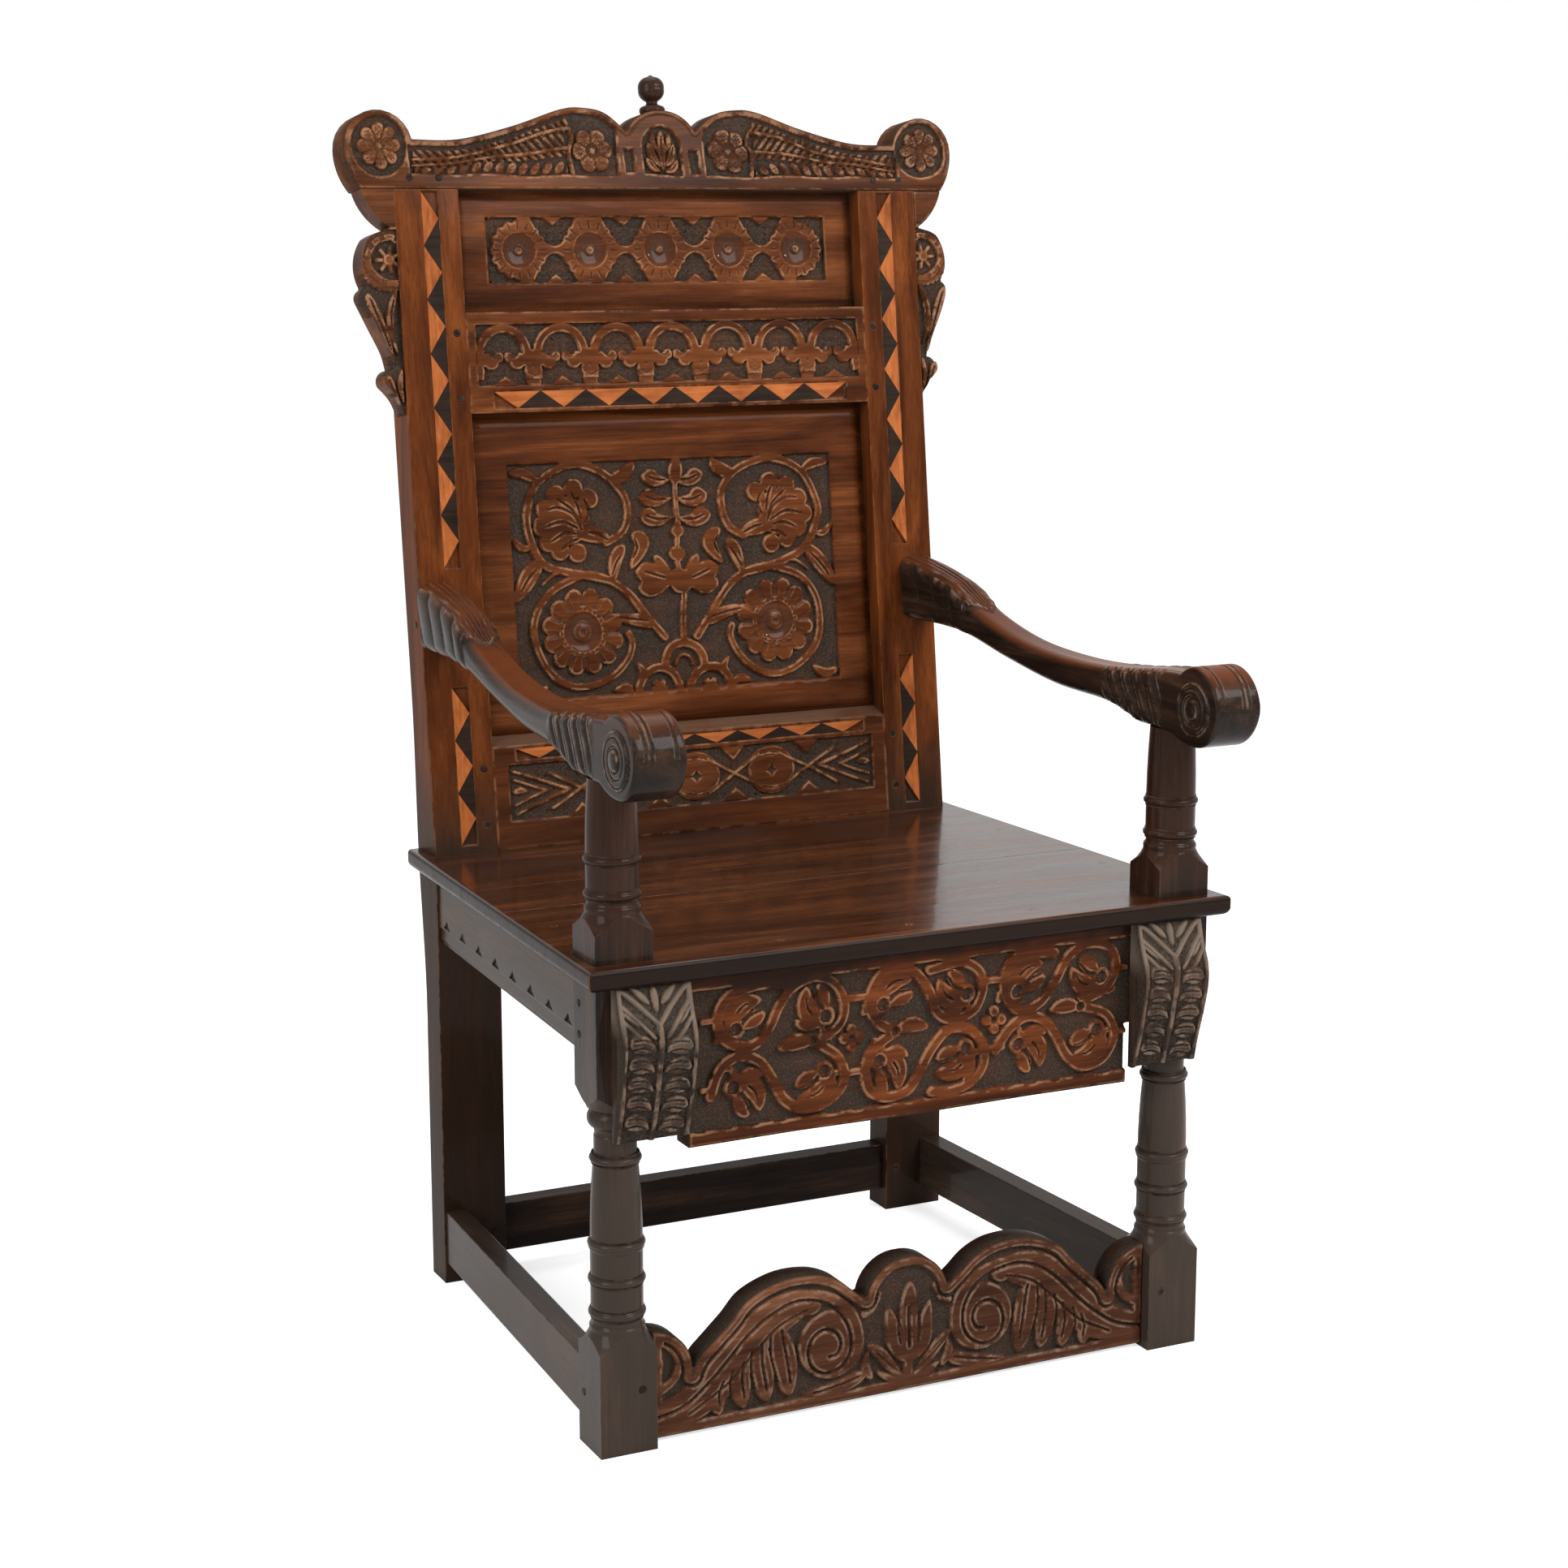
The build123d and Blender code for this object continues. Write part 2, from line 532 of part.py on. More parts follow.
# ---------------------------------------------------------------- crest
def crest_outline():
    """The right half, from the middle of the underside round to the top of the centre arch."""
    low, unit = BACK_LENGTH, CREST_HALF / 10
    centre = (CREST_HALF - ROUNDEL_RADIUS, low + ROUNDEL_HEIGHT)
    heel = (CREST_HALF - CREST_HEEL, low)
    side = (CREST_HALF, centre[1])
    notch = (centre[0] - ROUNDEL_RADIUS * 0.97, low + 48)
    valley = (38, low + 58.5)
    hump = [(6.5, 48.5), (4.8, 62), (3.25, 79), (2.5, 81), (1.8, 76)]
    return [
        Line((0, low), heel),
        ThreePointArc(heel, (CREST_HALF - 3.5, low + 19), side),
        ThreePointArc(side, (centre[0], centre[1] + ROUNDEL_RADIUS), notch),
        Spline(notch, *[(x * unit, low + z) for x, z in hump], valley),
        ThreePointArc(valley, (21, low + 75), (0, low + 79.5)),
    ]


def crest_face():
    right = Curve() + crest_outline()
    return make_face(right + mirror(right, about=Plane.YZ))


CREST_ROSETTE_X = 78.0
CREST_ROSETTE_RADIUS = 22.5
CREST_ROSETTE_HEIGHT = 39.0
FINIAL_SEAT = BACK_LENGTH + 78.5
FINIAL_RADIUS = 13.2
SPIGOT_RADIUS = 5.0
SPIGOT_LENGTH = 18.0


def crest_rail():
    low = BACK_LENGTH
    roundel_x = CREST_HALF - ROUNDEL_RADIUS
    rail = front_board(crest_face(), 0, CREST_THICKNESS)
    middle = CREST_THICKNESS / 2
    field = inset(crest_face(), CREST_BORDER)
    field &= Pos(0, low + CREST_BAND + 60) * Rectangle(2 * CREST_HALF, 120)
    rail -= front_board(field, -1, CARVING_DEPTH + 1)
    boss = Circle(ROUNDEL_RADIUS - CREST_BORDER - 6)
    rosette_z, radius = low + CREST_ROSETTE_HEIGHT, CREST_ROSETTE_RADIUS
    for side in (1, -1):
        rail += ring(side * CREST_ROSETTE_X, rosette_z, radius, radius - 5, CARVING_DEPTH, MOTIF_RISE)
        place = Pos(side * roundel_x, low + ROUNDEL_HEIGHT)
        rail += front_board(place * boss, CARVING_DEPTH - MOTIF_RISE, MOTIF_RISE)
    groove_half = POST_IN + GROOVE_DEPTH
    rail -= block((-groove_half, groove_half), panel_groove_depth(), (low - 1, low + GROOVE_DEPTH))
    rail -= both_sides(mortise(*CREST_TENON, "z"))
    rail -= Pos(0, middle, FINIAL_SEAT + 10) * Cylinder(FINIAL_RADIUS + 0.3, 20)
    socket = Cylinder(SPIGOT_RADIUS + MORTISE_GAP, SPIGOT_LENGTH + MORTISE_END_GAP)
    rail -= Pos(0, middle, FINIAL_SEAT - SPIGOT_LENGTH / 2) * socket
    for side in (1, -1):
        for px, pz in BACK_PEGS[:2]:
            rail -= peg_hole(side * px, 0, pz, BACK_PEG_LENGTH, (0, 1, 0))
    return leaned(rail)


def crest_finial():
    seat, r = FINIAL_SEAT, FINIAL_RADIUS
    body = turned(
        [
            (SPIGOT_RADIUS, seat, 0), (r - 1.5, seat, 0), (r - 1.5, seat + 7, 1.5), (7, seat + 9, 0),
            (6.5, seat + 13, -1), (r, seat + 25, 2.6), (4, seat + 37, 3.8), (0.6, seat + 39, 0.2),
        ],
        (SPIGOT_RADIUS, seat - SPIGOT_LENGTH),
    )
    return leaned(Pos(0, CREST_THICKNESS / 2, 0) * body)


EAR_BULGE = CREST_OVERHANG - CREST_HEEL     # how far the ears stand out beyond the posts
EAR_NOTCH, EAR_CURL, EAR_TIP, EAR_END = 38.5, 94.0, 173.0, 229.0     # down from the crest's underside
EAR_DRILL_DROP = 70.0
EAR_DRILL_RADIUS = EAR_BULGE * 0.27


def ear_face():
    """A scroll under the crest, a curl and a hanging leaf, as wide as the crest's overhang allows."""
    top = BACK_LENGTH

    def at(out, drop):
        return (POST_OUT + EAR_BULGE * out, top - drop)

    return closed(
        Line(at(0, 0), at(1, 0)),
        ThreePointArc(at(1, 0), at(0.67, 22), at(0.08, EAR_NOTCH)),
        ThreePointArc(at(0.08, EAR_NOTCH), at(0.42, 40), at(0.82, 46)),
        ThreePointArc(at(0.82, 46), at(1.09, 72), at(0.94, EAR_CURL)),
        ThreePointArc(at(0.94, EAR_CURL), at(1.11, 99), at(1.11, 107)),
        Spline(at(1.11, 107), at(0.76, 132), at(0.42, 156), at(0.30, EAR_TIP)),
        ThreePointArc(at(0.30, EAR_TIP), at(0.58, 179), at(0.58, 189)),
        Spline(at(0.58, 189), at(0.24, 202), at(0.045, 218), at(0, EAR_END)),
        Line(at(0, EAR_END), at(0, 0)),
    )


def ear_bracket():
    body = front_board(ear_face(), 0, EAR_THICKNESS)
    drill = Pos(POST_OUT + EAR_BULGE / 2, BACK_LENGTH - EAR_DRILL_DROP) * Circle(EAR_DRILL_RADIUS)
    body -= front_board(drill, -1, 1 + MOTIF_RISE)
    return leaned(body)


# ---------------------------------------------------------------- front legs
FOOT_TOP = 110.0
RAIL_BLOCK_LOW = SEAT_UNDER - 113
ARM_BLOCK_TOP = SEAT_HEIGHT + 41
SHOULDER = 16.0
CORNER_RADIUS = hypot(LEG_WIDTH, LEG_DEPTH) / 2 + 1
TURNED_RADIUS = LEG_DEPTH / 2 - 0.3
BEAD = 1.5
COLUMN_TOP_RADIUS = 20.8
COLUMN_TENON_RADIUS = 11.0
COLUMN_TENON_LENGTH = 20.0


def square_block(z_low, z_high, shoulder_low, shoulder_high):
    """A square stretch of the leg whose ends are rounded off to the turning."""
    low = [(CORNER_RADIUS, z_low + SHOULDER, -2)] if shoulder_low else []
    start = (TURNED_RADIUS if shoulder_low else CORNER_RADIUS, z_low)
    if shoulder_high:
        top = [(CORNER_RADIUS, z_high - SHOULDER, 0), (TURNED_RADIUS, z_high, -2)]
    else:
        top = [(CORNER_RADIUS, z_high, 0)]
    square = block((-LEG_WIDTH / 2, LEG_WIDTH / 2), (-LEG_DEPTH / 2, LEG_DEPTH / 2), (z_low, z_high))
    return square & turned(low + top, start)


def front_leg():
    r, body_r = TURNED_RADIUS, TURNED_RADIUS - BEAD
    neck = r - 4.5
    lower = turned(
        [
            (r, FOOT_TOP + 4, 0), (body_r, FOOT_TOP + 12, -1), (body_r, FOOT_TOP + 20, BEAD),
            (body_r, FOOT_TOP + 43, 0), (body_r, FOOT_TOP + 50, BEAD), (body_r, FOOT_TOP + 73, 0),
            (body_r, FOOT_TOP + 80, BEAD), (neck, RAIL_BLOCK_LOW - 53, 0.8),
            (neck + 0.6, RAIL_BLOCK_LOW - 50, 0), (neck + 0.6, RAIL_BLOCK_LOW - 43, 1.8),
            (neck - 1.2, RAIL_BLOCK_LOW - 41, 0), (neck - 1.2, RAIL_BLOCK_LOW - 26, 0),
            (r - 3, RAIL_BLOCK_LOW - 17, -2), (r - 3, RAIL_BLOCK_LOW - 3, 3), (r, RAIL_BLOCK_LOW, 0),
        ],
        (r, FOOT_TOP),
    )
    upper = turned(
        [
            (r, ARM_BLOCK_TOP + 2, 0), (body_r, ARM_BLOCK_TOP + 7, 0.8),
            (body_r - 0.6, ARM_BLOCK_TOP + 12, -0.6), (body_r, ARM_BLOCK_TOP + 12.5, 0),
            (body_r, ARM_BLOCK_TOP + 20, BEAD), (body_r, ARM_BLOCK_TOP + 43, 0),
            (body_r, ARM_BLOCK_TOP + 50, BEAD), (COLUMN_TOP_RADIUS, ARM_SEAT, 0.5),
            (COLUMN_TENON_RADIUS, ARM_SEAT, 0), (COLUMN_TENON_RADIUS, ARM_SEAT + COLUMN_TENON_LENGTH, 0),
        ],
        (r, ARM_BLOCK_TOP),
    )
    leg = square_block(0, FOOT_TOP, False, True) + lower
    leg += square_block(RAIL_BLOCK_LOW, ARM_BLOCK_TOP, True, True) + upper
    leg = Pos(LEG_X, LEG_Y, 0) * leg
    leg -= mortise(*FRONT_SEAT_TENON) + mortise(*FRONT_STRETCHER_TENON)
    for heights in (SIDE_RAIL_Z, SIDE_STRETCHER_Z):
        leg -= mortise(*side_tenon("leg", *heights), "y")
    return cut_pegs(leg)


# ---------------------------------------------------------------- pegs of the frame, right-hand side
PEG_LENGTH = 26.0
FRAME_PEGS = {
    "seat_frame": [
        (LEG_IN + 12, LEG_DEPTH, SEAT_UNDER - 26, (0, -1, 0)),
        (LEG_IN + 12, LEG_DEPTH, SEAT_UNDER - 72, (0, -1, 0)),
        (LEG_OUT, LEG_DEPTH - 11, SEAT_UNDER - 22, (-1, 0, 0)),
        (LEG_OUT, LEG_DEPTH - 11, SEAT_UNDER - 50, (-1, 0, 0)),
        (POST_IN + 12, FRAME_DEPTH, SEAT_UNDER - 38, (0, 1, 0)),
    ],
    "stretcher": [
        (LEG_IN + 14, 0, FRONT_STRETCHER_LOW + 54, (0, 1, 0)),
        (LEG_OUT, LEG_DEPTH - 11, STRETCHER_LOW + 27, (-1, 0, 0)),
        (POST_IN + 12, FRAME_DEPTH, STRETCHER_LOW + 25, (0, 1, 0)),
    ],
}


def cut_pegs(shape):
    for group in FRAME_PEGS.values():
        for x, y, z, direction in group:
            shape -= peg_hole(x, y, z, PEG_LENGTH, direction)
    return shape


def frame_pegs(name):
    group = Part()
    for x, y, z, direction in FRAME_PEGS[name]:
        group += peg(x, y, z, PEG_LENGTH, direction)
    return both_sides(group)


def back_pegs():
    group = Part()
    for x, z in BACK_PEGS:
        group += leaned(peg(x, 0, z, BACK_PEG_LENGTH, (0, 1, 0)))
    return both_sides(group)


# ---------------------------------------------------------------- seat frame
FRIEZE_COUNT = 6
FRIEZE_BORDER = 10.0
FRIEZE_RADIUS = 31.0
FRIEZE_ROW = 68.0
FRIEZE_PITCH = 2 * (LEG_IN - APRON_INSET - 4) / FRIEZE_COUNT


def front_seat_rail():
    low, top = SEAT_UNDER - FRONT_RAIL_HEIGHT, SEAT_UNDER
    rail = block((-LEG_IN, LEG_IN), (0, RAIL_THICKNESS), (SEAT_UNDER - FRONT_RAIL_SHOULDER, top))
    apron = LEG_IN - APRON_INSET
    rail += block((-apron, apron), (0, RAIL_THICKNESS), (low, top - 10))
    rail -= block((-apron + 4, apron - 4), (-1, CARVING_DEPTH), (low + FRIEZE_BORDER, top - 6))
    for row in range(2):
        z = low + FRIEZE_BORDER + FRIEZE_RADIUS + 2 + row * FRIEZE_ROW
        for n in range(FRIEZE_COUNT):
            x = FRIEZE_PITCH * (n - (FRIEZE_COUNT - 1) / 2)
            rail += ring(x, z, FRIEZE_RADIUS, FRIEZE_RADIUS - 6, CARVING_DEPTH, MOTIF_RISE)
    rail += both_sides(block(*FRONT_SEAT_TENON))
    return cut_both(rail)


def cut_both(shape):
    """Cuts the peg holes of both sides."""
    for group in FRAME_PEGS.values():
        for x, y, z, (dx, dy, dz) in group:
            shape -= peg_hole(x, y, z, PEG_LENGTH, (dx, dy, dz))
            shape -= peg_hole(-x, y, z, PEG_LENGTH, (-dx, dy, dz))
    return shape


def side_face_x(y):
    """The outer face of a side rail or stretcher at a place between leg and post."""
    share = (y - LEG_DEPTH) / (FRAME_DEPTH - LEG_DEPTH)
    return LEG_OUT - RAIL_SET_BACK - share * (LEG_OUT - POST_OUT - 2)


def side_piece(z_low, height, thickness):
    """A side rail or stretcher: it runs from leg to post and follows the narrowing of the seat."""
    front_x, rear_x = side_face_x(LEG_DEPTH), side_face_x(FRAME_DEPTH)
    plan = Polyline(
        (front_x, LEG_DEPTH), (rear_x, FRAME_DEPTH), (rear_x - thickness, FRAME_DEPTH),
        (front_x - thickness, LEG_DEPTH), (front_x, LEG_DEPTH),
    )
    return plan_board(make_face(plan), z_low, height)


TOOTH_COUNT = 8
TOOTH_HALF = 10.5
TOOTH_HIGH = SEAT_UNDER - 41
TOOTH_LOW = SEAT_UNDER - 50


def side_seat_rail():
    rail = side_piece(SEAT_UNDER - SIDE_RAIL_HEIGHT, SIDE_RAIL_HEIGHT, RAIL_THICKNESS)
    low = SEAT_UNDER - SIDE_RAIL_HEIGHT
    for depth, z_low, z_high in ((2.0, low - 1, TOOTH_LOW - 2), (4.0, low - 1, low + 5)):
        outside = side_piece(z_low, z_high - z_low, 40)
        rail -= Pos(40 - depth, 0, 0) * outside
    length = FRAME_DEPTH - LEG_DEPTH
    lean = degrees(atan2(LEG_OUT - POST_OUT - 2, length))
    pitch = length / TOOTH_COUNT
    for n in range(TOOTH_COUNT):
        y = LEG_DEPTH + pitch * (n + 0.5)
        corners = [(-TOOTH_HALF, TOOTH_LOW), (TOOTH_HALF, TOOTH_LOW), (0, TOOTH_HIGH), (-TOOTH_HALF, TOOTH_LOW)]
        notch = side_board(make_face(Polyline(*corners)), -2.0, 6)
        rail -= Pos(side_face_x(y), y, 0) * Rot(0, 0, lean) * notch
    rail += block(*side_tenon("leg", *SIDE_RAIL_Z)) + block(*side_tenon("post", *SIDE_RAIL_Z))
    return cut_pegs(rail)


def back_seat_rail():
    y = (FRAME_DEPTH + 6, FRAME_DEPTH + 6 + RAIL_THICKNESS)
    rail = block((-POST_IN, POST_IN), y, (SEAT_UNDER - BACK_RAIL_HEIGHT, SEAT_UNDER))
    return cut_both(rail + both_sides(block(*BACK_SEAT_TENON)))


# ---------------------------------------------------------------- seat boards
SEAT_FRONT = -SEAT_FRONT_OVERHANG
SEAT_REAR = POST_BACK_KNEE - 6
SEAT_FRONT_HALF = LEG_OUT + SEAT_SIDE_OVERHANG
SEAT_REAR_HALF = POST_OUT + SEAT_SIDE_OVERHANG


def seat_half_width(y):
    share = (y - SEAT_FRONT) / (SEAT_REAR - SEAT_FRONT)
    return SEAT_FRONT_HALF + share * (SEAT_REAR_HALF - SEAT_FRONT_HALF)


def seat_board(y_front, y_rear):
    a, b = seat_half_width(y_front), seat_half_width(y_rear)
    plan = Polyline((-a, y_front), (a, y_front), (b, y_rear), (-b, y_rear), (-a, y_front))
    return plan_board(make_face(plan), SEAT_UNDER, SEAT_THICKNESS)


def outer_edges(board, z, with_front):
    """The edges at height z that run along the sides of the seat and, if asked, along its front."""
    wanted = ShapeList()
    for edge in board.edges():
        middle = edge @ 0.5
        on_side = abs(abs(middle.X) - seat_half_width(middle.Y)) < 0.5
        on_front = with_front and abs(middle.Y - SEAT_FRONT) < 0.5
        if abs(middle.Z - z) < 0.01 and (on_side or on_front):
            wanted.append(edge)
    return wanted


def moulded(board, with_front):
    board = fillet(outer_edges(board, SEAT_UNDER, with_front), SEAT_NOSE)
    return fillet(outer_edges(board, SEAT_HEIGHT, with_front), SEAT_TOP_ROUND)


SIDE_PEG_YS = (FRAME_DEPTH * 0.32, FRAME_DEPTH * 0.71)
SEAT_PEGS = [(0, 14), (LEG_IN / 2, 14), (-LEG_IN / 2, 14)]
for peg_y in SIDE_PEG_YS:
    SEAT_PEGS += [(s * (side_face_x(peg_y) - RAIL_THICKNESS / 2), peg_y) for s in (1, -1)]
SEAT_PEGS += [(s * POST_IN * 0.4, FRAME_DEPTH + 6 + RAIL_THICKNESS / 2) for s in (1, -1)]
SEAT_PEG_RADIUS = 3.0
SEAT_PEG_LENGTH = 40.0


def seat_holes():
    holes = Part()
    for x, y in SEAT_PEGS:
        hole = Cylinder(SEAT_PEG_RADIUS + PEG_GAP, SEAT_PEG_LENGTH + 2)
        holes += Pos(x, y, SEAT_HEIGHT - SEAT_PEG_LENGTH / 2) * hole
    return holes


def seat_board_front():
    board = moulded(seat_board(SEAT_FRONT, SEAT_JOINT - BOARD_GAP / 2), True)
    gap = NOTCH_GAP
    hole = block((LEG_IN - gap, LEG_OUT + gap), (-gap, LEG_DEPTH + gap), (SEAT_UNDER - 1, SEAT_HEIGHT + 1))
    return board - both_sides(hole) - seat_holes()


def seat_board_back():
    board = moulded(seat_board(SEAT_JOINT + BOARD_GAP / 2, SEAT_REAR), False)
    gap = NOTCH_GAP
    deep = (FRAME_DEPTH - gap, SEAT_REAR + 5)
    notch = block((POST_IN - gap, POST_OUT + gap), deep, (SEAT_UNDER - 1, SEAT_HEIGHT + 1))
    return board - both_sides(notch) - seat_holes()


def seat_board_pegs():
    group = Part()
    for x, y in SEAT_PEGS:
        group += Pos(x, y, SEAT_HEIGHT - SEAT_PEG_LENGTH / 2) * Cylinder(SEAT_PEG_RADIUS, SEAT_PEG_LENGTH)
    return group


# ---------------------------------------------------------------- corbels
CORBEL_IN = LEG_IN - 31
CORBEL_OUT = LEG_OUT - 13
CORBEL_HIGH = SEAT_UNDER
CORBEL_LOW = CORBEL_HIGH - 139
CORBEL_LOBES = 6
CORBEL_TOP_DEPTH = 12.0
CORBEL_FOOT_DEPTH = 8.0
CORBEL_BELLY = [(-18, -21), (-27, -42), (-28, -62), (-22, -88), (-14, -114)]   # depth, drop from the top


def corbel():
    lip, foot = (-CORBEL_TOP_DEPTH, CORBEL_HIGH), (-CORBEL_FOOT_DEPTH, CORBEL_LOW)
    profile = closed(
        Line((0, CORBEL_LOW), (0, CORBEL_HIGH)),
        Line((0, CORBEL_HIGH), lip),
        Spline(lip, *[(y, CORBEL_HIGH + z) for y, z in CORBEL_BELLY], foot),
        Line(foot, (0, CORBEL_LOW)),
    )
    body = side_board(profile, CORBEL_IN, CORBEL_OUT - CORBEL_IN)
    pitch = (CORBEL_HIGH - CORBEL_LOW) / CORBEL_LOBES
    for n in range(1, CORBEL_LOBES):
        z = CORBEL_LOW + pitch * n
        for x in (CORBEL_IN, CORBEL_OUT):
            body -= Pos(x, -20, z) * Rot(90, 0, 0) * Cylinder(2.6, 60)
    return body


# ---------------------------------------------------------------- arms
ARM_TAIL = 60.0              # drawn past the post, then cut off to the rake
ARM_SET_IN = 3.0
SCROLL_BOSS_RADIUS = 11.0
SCROLL_BOSS_RISE = 2.0


def arm_side():
    """The arm from the side: y rearwards, z up. The tail runs on past the post and is cut to the rake."""
    seat, reach = ARM_SEAT, FRAME_DEPTH
    tail_low = (reach + ARM_TAIL, seat + ARM_TAIL_RISE)
    tail_high = (reach + ARM_TAIL, seat + ARM_TAIL_RISE + ARM_TAIL_HEIGHT)
    top = [(0.98, 108), (0.86, 93), (0.73, 68), (0.56, 50), (0.365, 44), (0.19, 47), (0.065, 54)]
    under = [(0.235, 11), (0.43, 15), (0.62, 28), (0.815, 44)]
    crown, chin = (-18, seat + 57), (-46, seat - 8)
    nose = (-50 - SCROLL_RADIUS - 2, seat + 36)
    flat_front, flat_rear = (-6, seat), (LEG_DEPTH + 6, seat)
    return closed(
        Spline(tail_high, *[(y * reach, seat + z) for y, z in top], crown),
        ThreePointArc(crown, nose, chin),
        ThreePointArc(chin, (-22, seat - 6), flat_front),
        Line(flat_front, flat_rear),
        Spline(flat_rear, *[(y * reach, seat + z) for y, z in under], tail_low),
        Line(tail_low, tail_high),
    )


def arm_plan():
    """The arm from above: its outer side runs from the post's outer face to a little inside the leg's."""
    out, inner = LEG_OUT - ARM_SET_IN, LEG_OUT - ARM_SET_IN - ARM_SCROLL_WIDTH
    out_rear, inner_rear = POST_OUT, POST_OUT - ARM_REAR_WIDTH
    waist, waist_y, behind_leg = LEG_X - 8, FRAME_DEPTH * 0.56, FRAME_DEPTH * 0.19
    half = ARM_MIDDLE_WIDTH / 2
    rear, tail, nose = FRAME_DEPTH, FRAME_DEPTH + ARM_TAIL, -90
    return closed(
        Line((out_rear, tail), (out_rear, rear)),
        Spline((out_rear, rear), (waist + half, waist_y), (out - 1, behind_leg), (out, 10)),
        Line((out, 10), (out, nose)),
        Line((out, nose), (inner, nose)),
        Line((inner, nose), (inner, 10)),
        Spline((inner, 10), (inner + 1, behind_leg), (waist - half, waist_y), (inner_rear, rear)),
        Line((inner_rear, rear), (inner_rear, tail)),
        Line((inner_rear, tail), (out_rear, tail)),
    )


ARM_PEG = (POST_OUT, 16, (ARM_TENON_Z[0] + ARM_TENON_Z[1]) / 2, (-1, 0, 0))   # on the back's frame


SCROLL_Y, SCROLL_Z = -47.0, ARM_SEAT + 24      # middle of the scroll
ARM_BLANK_LOW = ARM_SEAT - 60                  # the blank that the plan is cut from
ARM_BLANK_HEIGHT = 240.0
ARM_BLANK_MARGIN = 20.0


def arm():
    plan = plan_board(arm_plan(), ARM_BLANK_LOW, ARM_BLANK_HEIGHT)
    body = side_board(arm_side(), POST_IN - ARM_BLANK_MARGIN, LEG_OUT) & plan
    body -= leaned(block((0, 2 * LEG_OUT), (0, 200), (0, BACK_LENGTH)))
    body += leaned(block(ARM_TENON_X, (-2, ARM_TENON_LENGTH), ARM_TENON_Z))
    socket = Cylinder(COLUMN_TENON_RADIUS + MORTISE_GAP, COLUMN_TENON_LENGTH + MORTISE_END_GAP)
    body -= Pos(LEG_X, LEG_Y, ARM_SEAT + (COLUMN_TENON_LENGTH + MORTISE_END_GAP) / 2) * socket
    middle = LEG_OUT - ARM_SET_IN - ARM_SCROLL_WIDTH / 2
    boss = Cylinder(SCROLL_BOSS_RADIUS, ARM_SCROLL_WIDTH + 2 * SCROLL_BOSS_RISE)
    return body + Pos(middle, SCROLL_Y, SCROLL_Z) * Rot(0, 90, 0) * boss


def arm_pegs():
    x, y, z, direction = ARM_PEG
    return both_sides(leaned(peg(x, y, z, PEG_LENGTH, direction)))


# ---------------------------------------------------------------- stretchers
def front_stretcher_face():
    low, end, tall = FRONT_STRETCHER_LOW, LEG_IN, FRONT_STRETCHER_HEIGHT
    horn, crook, rise = (end, low + 100), (end - 39, low + 53), (end - 54, low + 75)
    valley = (0.164 * end, low + 94)
    swell = [(0.7, 0.75), (0.625, 0.9), (0.5, 0.99), (0.375, 0.99), (0.28, 0.92), (0.21, 0.805)]
    right = Curve() + [
        Line((0, low), (end, low)),
        Line((end, low), horn),
        ThreePointArc(horn, (end - 28, low + 88), crook),
        ThreePointArc(crook, (end - 44, low + 64), rise),
        Spline(rise, *[(x * end, low + z * tall) for x, z in swell], valley),
        ThreePointArc(valley, (0.117 * end, low + 117), (0, low + tall)),
    ]
    return make_face(right + mirror(right, about=Plane.YZ))


VOLUTE_X, VOLUTE_Z = LEG_IN * 0.33, FRONT_STRETCHER_LOW + 54
VOLUTE_RADIUS = 22.0
VOLUTE_BAND = 8.0
VOLUTE_EYE = 6.0
STRETCHER_RIM = 5.0
STRETCHER_END = 12.0         # plain wood left beside each leg


def front_stretcher():
    face = front_stretcher_face()
    y = FRONT_STRETCHER_SET_BACK
    body = front_board(face, y, FRONT_STRETCHER_THICKNESS)
    reach = 2 * (LEG_IN - STRETCHER_END)
    field = inset(face, STRETCHER_RIM) & Rectangle(reach, 3 * FRONT_STRETCHER_HEIGHT)
    body -= front_board(field, y - 1, CARVING_DEPTH + 1)
    ground = y + CARVING_DEPTH
    for side in (1, -1):
        x = side * VOLUTE_X
        body += ring(x, VOLUTE_Z, VOLUTE_RADIUS, VOLUTE_RADIUS - VOLUTE_BAND, ground, MOTIF_RISE)
        body += front_board(Pos(x, VOLUTE_Z) * Circle(VOLUTE_EYE), ground - MOTIF_RISE, MOTIF_RISE)
    body += both_sides(block(*FRONT_STRETCHER_TENON))
    return cut_both(body)


def side_stretcher():
    body = side_piece(STRETCHER_LOW, SIDE_STRETCHER_HEIGHT, STRETCHER_THICKNESS)
    body += block(*side_tenon("leg", *SIDE_STRETCHER_Z)) + block(*side_tenon("post", *SIDE_STRETCHER_Z))
    return cut_pegs(body)


def rear_stretcher():
    y = (FRAME_DEPTH + 8, FRAME_DEPTH + 8 + STRETCHER_THICKNESS)
    body = block((-POST_IN, POST_IN), y, (STRETCHER_LOW, STRETCHER_LOW + REAR_STRETCHER_HEIGHT))
    return cut_both(body + both_sides(block(*REAR_STRETCHER_TENON)))


# ---------------------------------------------------------------- the whole chair
def drilled_for_arm_peg(shape):
    x, y, z, direction = ARM_PEG
    return shape - leaned(peg_hole(x, y, z, PEG_LENGTH, direction))


def drilled_for_seat(shape):
    return shape - seat_holes()


